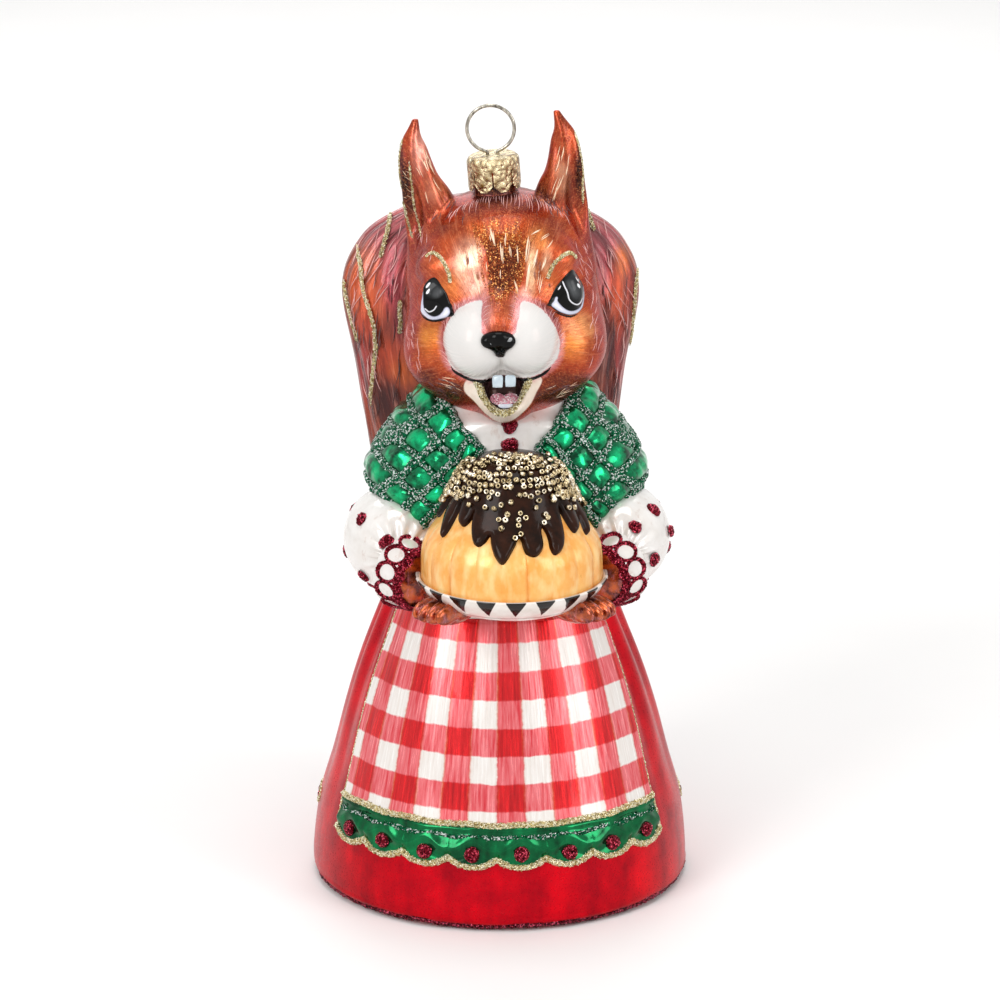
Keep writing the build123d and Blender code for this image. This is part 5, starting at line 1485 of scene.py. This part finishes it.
TAIL_SPOTS = [
    (380, 235, 34, 22, "b05a60", 0.9), (362, 262, 18, 22, "d2765c", 0.8), (352, 285, 8, 26, "e8642c", 0.9),
    (372, 300, 16, 26, "e8683c", 0.9), (392, 280, 12, 34, "a8404e", 0.85), (366, 330, 16, 20, "c44a30", 0.8),
    (400, 322, 8, 26, "6c2230", 0.9), (385, 360, 20, 22, "b8401e", 0.9), (405, 372, 16, 14, "d0601e", 0.8),
    (388, 400, 16, 20, "5e1a18", 0.95), (362, 370, 10, 30, "a43034", 0.8), (610, 240, 26, 26, "b46268", 0.85),
    (624, 262, 12, 16, "f08440", 1), (606, 268, 10, 30, "9c3c46", 0.85), (618, 300, 10, 40, "d85a34", 0.9),
    (632, 290, 7, 40, "cc6050", 0.85), (608, 350, 10, 36, "541a22", 0.9), (622, 370, 7, 40, "a03038", 0.85),
    (612, 395, 12, 14, "6a1a1c", 0.9),
]
COLS = 520
z = np.linspace(TAIL_LOW, TAIL_HIGH, 200)
rows = curve(np.stack([z, tail_line(z)[0]], -1), 300)[:, 0]
aa, zz = np.meshgrid(np.linspace(0, 2 * np.pi, COLS, endpoint=False), rows)
fade = smooth(zz, TAIL_LOW, 34) * smooth(zz, TAIL_HIGH, 130.5)
shell, n = on_tail(aa, zz, (locks(aa, zz) - 0.15) * fade - 0.1)
flat, faces = sheet(shell, True)
base = blend_in(mottle(flat, "6e2026", "b0502c", 0.13, 2.0), "5a1820", smooth(flat[:, 2], 96, 60))
base = blend_in(base, "b4646c", 0.7 * smooth(flat[:, 2], 118, 132))
tint, _, _ = airbrush(flat, n.reshape(-1, 3), base, TAIL_SPOTS, -0.1)
flow = np.stack([aa / (2 * np.pi) + 0.02 * np.sin(zz / 13.0), zz / 60.0, 0 * aa], -1).reshape(-1, 3)
p = Paint("tail_lacquer", **clear_coat(0.4))
tint_in = p.held("tint", "Color")
streak = p.noise(1.0, 6.0, 0.7, p.held("flow", "Vector"), (120.0, 5.0, 1.0), 0.4)
broad = p.noise(1.0, 4.0, 0.6, p.held("flow", "Vector"), (36.0, 3.0, 1.0), 0.3)
light = p.mix(0.6, tint_in, "e8a08c", "SCREEN")
dark = p.mix(0.85, tint_in, "6a2430", "MULTIPLY")
tone = p.mix(p.band(broad, 0.36, 0.62), dark, tint_in)
tone = p.mix(p.band(streak, 0.54, 0.72, 0.0, 0.7), tone, light)
tone = p.mix(p.band(streak, 0.45, 0.3, 0.0, 0.6), tone, dark)
tail_paint = p.finish(tone, streak, 0.14, 0.36, p.bump(streak, 0.4, 0.0005), Metallic=0.62)
tips = [(TAIL_SIDE, 30.8, TAIL_LOW), (TAIL_SIDE, 30.24, TAIL_HIGH)]
ends = [fan(len(flat), 0, COLS)[:, ::-1], fan(len(flat) + 1, len(flat) - COLS, COLS)]
mesh = np.vstack([flat, tips]), [np.vstack(ends), faces]
held = dict(tint=np.vstack([with_alpha(tint), np.full((2, 4), 0.3)]), flow=np.vstack([flow, np.zeros((2, 3))]))
glass("tail_glass", mesh, tail_paint, "tail_glass", "tail", **held)

TAIL_LINES_PX = [
    [(391, 210), (388.6, 226), (384.6, 242), (380.5, 258)],
    [
        (355, 237), (358, 250), (360.5, 265), (362, 280), (363.7, 292), (369, 309), (374, 326), (375.4, 341),
        (375, 357), (372, 385), (371, 406),
    ],
    [(343.7, 279.5), (346.6, 298), (351, 317), (355, 330), (358.4, 342.6)],
    [(638.4, 258), (636.6, 274), (635, 290), (633.4, 311), (631, 332), (628.6, 350), (625.6, 366)],
    [(586, 208), (590, 219), (594, 231)],
    [(400.5, 300), (400, 312), (400.6, 324), (399.4, 334)],
]
parts = face_strips(TAIL_LINES_PX, 0.95, 0.42, 110, 0.35, tail_field, jitter=0.08, ends=0.06, sink=0.3)
z = np.linspace(56, 126, 150)
for aside in (-0.9, -0.45, 0.1, 0.5, 1.0):
    path = on_tail(math.pi / 2 - aside + 0.14 * np.sin(z / 13.0 + aside), z, -0.05)
    parts.append(strip(*path, 0.95, 0.5, jitter=0.08, ends=0.06, sink=0.25))
glass("tail_glitter", merge(parts), gold_glitter, "gold_glitter", "tail_lines")
rows = spray(34, (372, 250), (30, 40), (14, 34), 112, 16, (0.12, 0.24))
rows += spray(16, (360, 330), (14, 50), (14, 34), 82, 10, (0.12, 0.22))
rows += spray(28, (617, 260), (22, 45), (14, 34), 70, 16, (0.12, 0.24))
rows += spray(14, (624, 350), (10, 45), (14, 30), 96, 8, (0.12, 0.22))
hairs("tail_hairs", rows, hair_pale, "tail_glass", tail_top)
rows = sprays((40, (380, 340), (26, 70), (14, 30), 92, 12), (30, (615, 340), (16, 70), (14, 30), 88, 10))
hairs("tail_dark_hairs", rows, hair_dark, "tail_glass", tail_top)

# Plate, pudding, icing and sugar beads, all about the pudding's own upright axis

PUDDING_AT = np.array([SIDE, -24.5, 0.0])
WELL_Z = 65.5
DOME_R = 17.9
DOME_H = 28.0
PLATE_TEETH = 20
RIM_LOW = 66.2
RIM_TALL = 4.3

under = curve([(0.02, 64.4), (6, 64.4), (11.0, 64.45), (13.6, 65.1), (16.4, 66.9), (18.2, 68.8), (18.9, 70.0)], 60)
lip = curve([(18.95, 70.1), (18.85, 70.38), (18.5, 70.44), (18.1, 70.3)], 10)
well = curve([(17.9, 70.0), (17.3, 68.4), (16.2, 66.8), (14.6, 65.8), (12, 65.6), (6, 65.6), (0.02, 65.6)], 40)
line = np.vstack([under, lip, well])
turns = np.linspace(0, 360, 421)
shell = away(turns) * line[:, :1, None]
shell[..., 2] = line[:, 1:]
shell = shell + PUDDING_AT
share = (line[:, 1:] - RIM_LOW) / RIM_TALL
share[len(under) + len(lip) - 2 :] = -1.0
ring = np.stack(np.broadcast_arrays(turns / 360 * PLATE_TEETH * 2, share, 0.0), -1)
# Black triangles round the rim, over a thin brown line
p = Paint("plate_enamel", **clear_coat(0.2, 0.04, 0.3))
around, across, _ = p.add("SeparateXYZ", Vector=p.held("ring", "Vector")).outputs
wander = p.times(p.minus(p.noise(0.5, 3.0, 0.6), 0.5), 0.16)
tooth = p.math("PINGPONG", p.plus(around, wander), 1.0)
edge = p.plus(p.times(tooth, 1.25), 0.12)
inked = p.band(p.minus(p.plus(across, wander), edge), -0.03, 0.03)
inked = p.times(inked, p.band(across, 1.0, 0.96))
to_line = p.math("ABSOLUTE", p.plus(p.plus(across, p.times(wander, 0.4)), 0.02))
white = p.mix(p.band(p.noise(0.3, 4.0), 0.3, 0.7), "efebe6", "ded6ce")
white = p.mix(p.times(p.band(to_line, 0.07, 0.03), 0.8), white, "7a4038")
tone = p.mix(inked, white, "080606")
plate_paint = p.finish(tone, p.noise(1.2), 0.1, 0.22, p.bump(p.noise(0.6, 2.0), 0.12, 0.0003))
w, d, cx = torso_line(np.clip(shell[..., 2], WAIST_Z, NECK_Z))
clear = oval(shell[..., 0] - cx, shell[..., 1], w, d) > -1.5
mesh, held = clip_mesh(*sheet(shell), clear, ring=ring.reshape(-1, 3))
glass("plate_glass", mesh, plate_paint, "plate_enamel", "plate", **held)

# Pudding: a pearly dome with soft upright flutes. Its outline's rows are shares of radius and height
DOME_ROWS = [
    (1.0, 0.0), (1.0, 0.2), (0.98, 0.4), (0.88, 0.52), (0.74, 0.63), (0.62, 0.77), (0.52, 0.89), (0.38, 0.97),
    (0.2, 0.995), (0.005, 1.0),
]
FLUTES = 20
dome_line = curve(np.array(DOME_ROWS) * (DOME_R, DOME_H) + (0, WELL_Z), 400)
dome_s = np.linspace(0, 1, len(dome_line))
dome_z = np.maximum.accumulate(dome_line[:, 1])
DOME_ARC = np.linalg.norm(np.diff(dome_line, axis=0), axis=1).sum()


def outline_at(s):
    """Radius and height of the dome at a share of its outline, from the foot to the crown."""
    return np.interp(s, dome_s, dome_line[:, 0]), np.interp(s, dome_s, dome_line[:, 1])


def on_dome(turn, s, out=0.0):
    """Points of the dome at a turn from the front and a share of its outline, pushed out, and the normals there."""
    h = 0.004
    (r, z), (r2, z2), (r1, z1) = outline_at(s), outline_at(s + h), outline_at(s - h)
    size = np.hypot(r2 - r1, z2 - z1)
    d = away(turn)
    n = d * ((z2 - z1) / size)[..., None]
    n[..., 2] = (r1 - r2) / size
    p = d * r[..., None]
    p[..., 2] = z
    return p + PUDDING_AT + n * np.asarray(out)[..., None], n


def dome_field(p):
    x, y, z = (p - PUDDING_AT).T
    side = np.hypot(x, y) - np.interp(z, dome_z, dome_line[:, 0])
    return np.where(z < WELL_Z, WELL_Z - z, np.maximum(side, z - WELL_Z - DOME_H)) * 0.9


def icing_top(p):
    return dome_field(p) - 1.1


ss, tt = np.meshgrid(np.linspace(0.095, 1, 150), np.linspace(0, 360, 620, endpoint=False), indexing="ij")
a = np.radians(tt)
flute = 1 - np.abs(np.cos(FLUTES / 2 * a + 0.25 * np.sin(4 * a) + 0.5 * ss)) ** 0.6
deep = flute * smooth(ss, 0.52, 0.3) * (0.35 + 0.65 * np.sin(3.5 * a + 1.1) ** 2)
level = -0.5 * deep - 0.1 + 0.14 * wobble(np.stack([3 * a, 8 * ss, 0 * a], -1), 1.0, 2.0)
shell = on_dome(tt, ss, level)[0]
p = Paint("pudding_pearl", **clear_coat(0.22, 0.05, 0.4))
veil = p.noise(0.5, 3.0, 0.5, stretch=(1, 1, 0.45))
tone = p.mix(p.band(p.noise(0.2, 4.0, 0.6), 0.3, 0.7), "ee9e40", "f4ba68")
# Darker in the deeper flutes: painted shade in the grooves
tone = p.mix(p.band(p.held("groove"), 0.45, 1.0, 0.0, 0.85), tone, "d97c14")
# Pale upright streaks along veil: painted highlights
tone = p.mix(p.band(veil, 0.46, 0.68, 0.0, 0.6), tone, "f8d898")
pudding_paint = p.finish(tone, veil, 0.26, 0.4, p.bump(veil, 0.2, 0.0004), Metallic=0.16)
mesh, held = clip_mesh(*sheet(shell, True), torso_field(shell) > -1.2, groove=deep.ravel())
glass("pudding_glass", mesh, pudding_paint, "pudding_glass", "pudding", **held)

# Icing: its lower edge follows the photograph in front and a run of uneven drips behind
ICING_PX = [
    (400, 400), (400, 512), (432, 514), (437.6, 516), (440.4, 514.6), (447, 504.6), (456.8, 491.6), (455, 498),
    (448.7, 508.9), (443.9, 523.3), (441.6, 534), (443, 536.6), (447.8, 530.9), (455.4, 516.6), (461, 505),
    (463.6, 502), (461.4, 510.8), (459.8, 519.4), (461, 524.4), (464.2, 525.8), (468.8, 522.3), (473.6, 515.6),
    (475.8, 511), (473.6, 518.5), (472.3, 530), (472.9, 539.5), (475.4, 544.6), (479.4, 546), (485.1, 542.4),
    (489.6, 536.4), (491, 538), (491.5, 544.3), (494.2, 553.9), (498.4, 561), (502.3, 563.8), (505.6, 561),
    (509, 555.8), (514.3, 546.2), (517, 540), (519.6, 537.8), (522.2, 541.4), (524.4, 548.1), (528.6, 554),
    (535.4, 556.3), (541, 551), (542.9, 544.3), (541, 533), (541.8, 527), (544, 529), (547.3, 534.7), (549.4, 541),
    (550.9, 547.6), (554.5, 554.3), (559, 552.6), (562.4, 547.6), (563.6, 538.6), (562.2, 529), (559.8, 519.4),
    (556.9, 507.6), (558, 507), (561.7, 513.7), (567.4, 523.3), (571.8, 530), (575.1, 532.3), (577.9, 528),
    (577.2, 522), (575.1, 516.6), (571.2, 507), (566, 496.6), (567, 496), (571, 502.6), (576, 510.8), (580.8, 521.3),
    (584.6, 530.4), (587.4, 534), (588.4, 529), (585.6, 518.5), (586, 514), (592, 513), (620, 512), (620, 400),
]
COLS = 960
back_turns = np.linspace(0, 360, 720, endpoint=False)
drips = np.abs(np.sin(np.radians(back_turns * 5))) ** 0.6 * (1 + 0.5 * np.sin(np.radians(back_turns * 2 + 20)))
ss, tt = np.meshgrid(np.linspace(0.14, 1, 270), np.linspace(0, 360, COLS, endpoint=False), indexing="ij")
ground, n = on_dome(tt, ss)
outline = curve(ICING_PX, 620, closed=True)
front = -line_distance(to_pixel(ground.reshape(-1, 3)), outline, True).reshape(ss.shape) / PX_PER_MM
edge_s = np.interp(tt[0], back_turns, 0.53 - 0.1 * drips, period=360)
steep = np.gradient(edge_s * DOME_ARC) / (2 * np.pi / COLS * outline_at(edge_s)[0])
back = (ss - edge_s) * DOME_ARC / np.sqrt(1 + np.clip(steep, -4, 4) ** 2)
shown = smooth(-(n @ CAM_AHEAD), 0.02, 0.12)
to_edge = front * shown + back * (1 - shown)
swell = 0.25 + 0.85 * np.sqrt(1 - (1 - np.clip(to_edge / 1.15, 0, 1)) ** 2)
level = np.where(to_edge > 0, swell, np.clip(to_edge * 2.2 + 0.25, -0.9, 0.25))
a = np.radians(tt)
level = level + 0.1 * wobble(np.stack([4 * a, 14 * ss, 0 * a], -1), 1.0, 6.0) * (to_edge > 0.4)
shell = on_dome(tt, ss, level)[0]
icing_paint = enamel("icing_enamel", "180b05", "34190c", 0.16, 0.08)
mesh, _ = clip_mesh(*sheet(shell, True), (to_edge > -0.5) & (torso_field(shell) > -1.0))
glass("icing_enamel", mesh, icing_paint, "icing_enamel", "icing")

# Sugar beads: short glass tubes that lie every way on the icing
BEAD_R = 0.55
BEAD_HOLE = 0.2
BEAD_HALF = 0.42
BEAD_SIDES = 12
BEAD_PITCH = 1.14
CROWDING = (0.5, 0.56, 0.62, 0.8, 0.9, 1.0), (0.0, 0.5, 0.95, 0.92, 0.8, 0.7)
BEADS_PX = [
    (486, 508), (494.6, 509), (501.5, 505), (507.5, 514.6), (499.4, 520), (505.6, 520.4), (501.7, 529), (511, 502.7),
    (520, 513.5), (525.4, 518), (518, 520), (518.5, 525.7), (520.8, 534.4), (515, 538.7), (535.5, 508),
    (544.4, 514.6), (547, 518), (543, 523), (538, 500.6), (552.7, 500), (567.4, 508), (573, 508), (478, 499),
    (470, 505), (463, 497), (490, 498), (530, 497), (560, 495),
]
bead_paint = glitter("bead_gold", "84704e", "cbb994", "f4ead6", 0.9, 1.0)
radius, height = np.array([
    (BEAD_HOLE, -0.5), (BEAD_R * 0.8, -1.0), (BEAD_R, -0.5), (BEAD_R, 0.5), (BEAD_R * 0.8, 1.0), (BEAD_HOLE, 0.5)
]).T[..., None]
a = np.linspace(0, 2 * np.pi, BEAD_SIDES, endpoint=False)
bead = np.stack([radius * np.cos(a), radius * np.sin(a), height * BEAD_HALF + 0 * a], -1)
bead_faces = grid_faces(len(bead) + 1, BEAD_SIDES, True) % (len(bead) * BEAD_SIDES)
bead = bead.reshape(-1, 3)

spots = cast(BEADS_PX, icing_top)
spots = [(c, k) for c, k in zip(spots, unit(slope(icing_top, spots))) if not np.isnan(c[0])]
s_at = 1.0
while s_at > 0.48:
    count = max(1, int(2 * math.pi * outline_at(s_at)[0] / BEAD_PITCH))
    first = rng.uniform(0, 360)
    for k in range(count):
        if rng.uniform() < np.interp(s_at, *CROWDING):
            turn = first + 360 * (k + rng.uniform(-0.16, 0.16)) / count
            c, normal = on_dome(turn, min(s_at + rng.uniform(-0.006, 0.006), 1.0), 1.1)
            col, row = to_pixel(c)
            in_front = 455.5 + 0.003 * (col - 508) ** 2 < row < 495 + 0.0016 * (col - 505) ** 2
            if normal @ CAM_AHEAD > 0.1 or in_front:
                spots.append((c, normal))
    s_at -= BEAD_PITCH / DOME_ARC
parts = []
for c, normal in spots:
    if torso_field(c) < 2.2:
        continue
    axis = unit(normal + rng.normal(0, 0.42, 3))
    one = unit(np.cross(axis, (0.3, 0.2, 1.0)))
    turned = bead * rng.uniform(0.92, 1.08) @ np.stack([one, np.cross(axis, one), axis])
    parts.append((c + normal * 0.42 + turned, bead_faces))
glass("sugar_beads_gold", merge(parts), bead_paint, "bead_gold", "sugar_beads")

# Crown cap and wire keep their solids

p = Paint("cap_metal", Metallic=1.0, Specular_IOR_Level=0.5)
cells = p.add("TexVoronoi", {"feature": "SMOOTH_F1"}, Scale=1.15, Vector=p.spot(), Randomness=0.9)
pits = p.noise(2.8, 4.0, 0.6)
dent = p.plus(cells.outputs["Distance"], p.times(pits, 0.35))
tone = p.mix(p.band(dent, 0.25, 0.95), "f6e6bc", "6a4a1c")
cap_metal = p.finish(tone, pits, 0.16, 0.34, p.bump(dent, 1.0, 0.0007))
p = Paint("wire_metal", Metallic=1.0, Specular_IOR_Level=0.5)
drawn = p.noise(1.5, 3.0, 0.6, stretch=(1, 1, 0.3))
tone = p.mix(p.band(drawn, 0.3, 0.7), "d6d0c2", "58524a")
p.put(p.bsdf, dict(Base_Color=tone, Roughness=p.band(drawn, 0.3, 0.7, 0.16, 0.3)))
for node, mat in (("crown_cap", cap_metal), ("hanger_wire", p.mat)):
    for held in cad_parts[node].material_slots:
        held.material = mat

# Floor, camera and light
scene = bpy.context.scene
scene.view_settings.view_transform = "Standard"
FLOOR_HALF = 1200.0
FLOOR_LOW = -0.05
v = [(x * FLOOR_HALF, y * FLOOR_HALF, FLOOR_LOW) for x, y in ((-1, -1), (1, -1), (1, 1), (-1, 1))]
p = Paint("floor_card", Specular_IOR_Level=0.2, Roughness=0.7)
p.put(p.bsdf, dict(Base_Color=p.mix(p.noise(0.02, 2.0), "f6f5f4", "f2f1f0")))
floor = build("floor", v, np.array([[0, 1, 2, 3]]), p.mat, smooth=False)


def pose(obj, at, right, up, ahead):
    """Stands a camera or lamp at a place in millimetres, and links it to the scene."""
    matrix = np.eye(4)
    matrix[:3, :3] = np.stack([right, up, -ahead], 1)
    matrix[:3, 3] = np.array(at) * MM
    obj.matrix_world = Matrix(matrix)
    scene.collection.objects.link(obj)


cam_data = bpy.data.cameras.new("camera")
cam_data.sensor_width = 36.0
cam_data.lens = cam_data.sensor_width * CAM_FOCAL / FRAME_PX
cam_data.clip_end = 20.0
camera = bpy.data.objects.new("camera", cam_data)
pose(camera, CAM_AT, CAM_RIGHT, CAM_UP, CAM_AHEAD)
scene.camera = camera

# Soft boxes: place, what they point at, width and height in millimetres, and power
for name, at, aim, width, height, power in (
    ("key_light", (-620, -700, 620), (0, 0, 80), 420, 620, 5.0),
    ("fill_light", (760, -560, 420), (0, 0, 80), 380, 620, 3.0),
    ("top_light", (0, -60, 900), (0, 0, 60), 500, 500, 2.6),
    ("back_light", (0, 800, 520), (0, 0, 80), 700, 500, 2.5),
):
    data = bpy.data.lights.new(name, "AREA")
    data.shape = "RECTANGLE"
    data.size, data.size_y = width * MM, height * MM
    data.energy = power
    ahead = unit(np.subtract(aim, at))
    right = unit(np.cross(ahead, (0, 0, 1)))
    pose(bpy.data.objects.new(name, data), at, right, np.cross(right, ahead), ahead)

# The room is brighter where it is seen or mirrored than where it lights
world = bpy.data.worlds.new("studio")
world.use_nodes = True
scene.world = world
tree = world.node_tree
tree.nodes.clear()
out = tree.nodes.new("ShaderNodeOutputWorld")
rays = tree.nodes.new("ShaderNodeLightPath")
seen = rays.outputs["Is Camera Ray"]
for kind in ("Is Transmission Ray", "Is Glossy Ray"):
    either = tree.nodes.new("ShaderNodeMath")
    either.operation = "MAXIMUM"
    tree.links.new(seen, either.inputs[0])
    tree.links.new(rays.outputs[kind], either.inputs[1])
    seen = either.outputs[0]
mixer = tree.nodes.new("ShaderNodeMixShader")
tree.links.new(seen, mixer.inputs[0])
for k, strength in ((1, 0.5), (2, 1.0)):
    glow = tree.nodes.new("ShaderNodeBackground")
    glow.inputs["Color"].default_value = rgb("ffffff")
    glow.inputs["Strength"].default_value = strength
    tree.links.new(glow.outputs[0], mixer.inputs[k])
tree.links.new(mixer.outputs[0], out.inputs["Surface"])
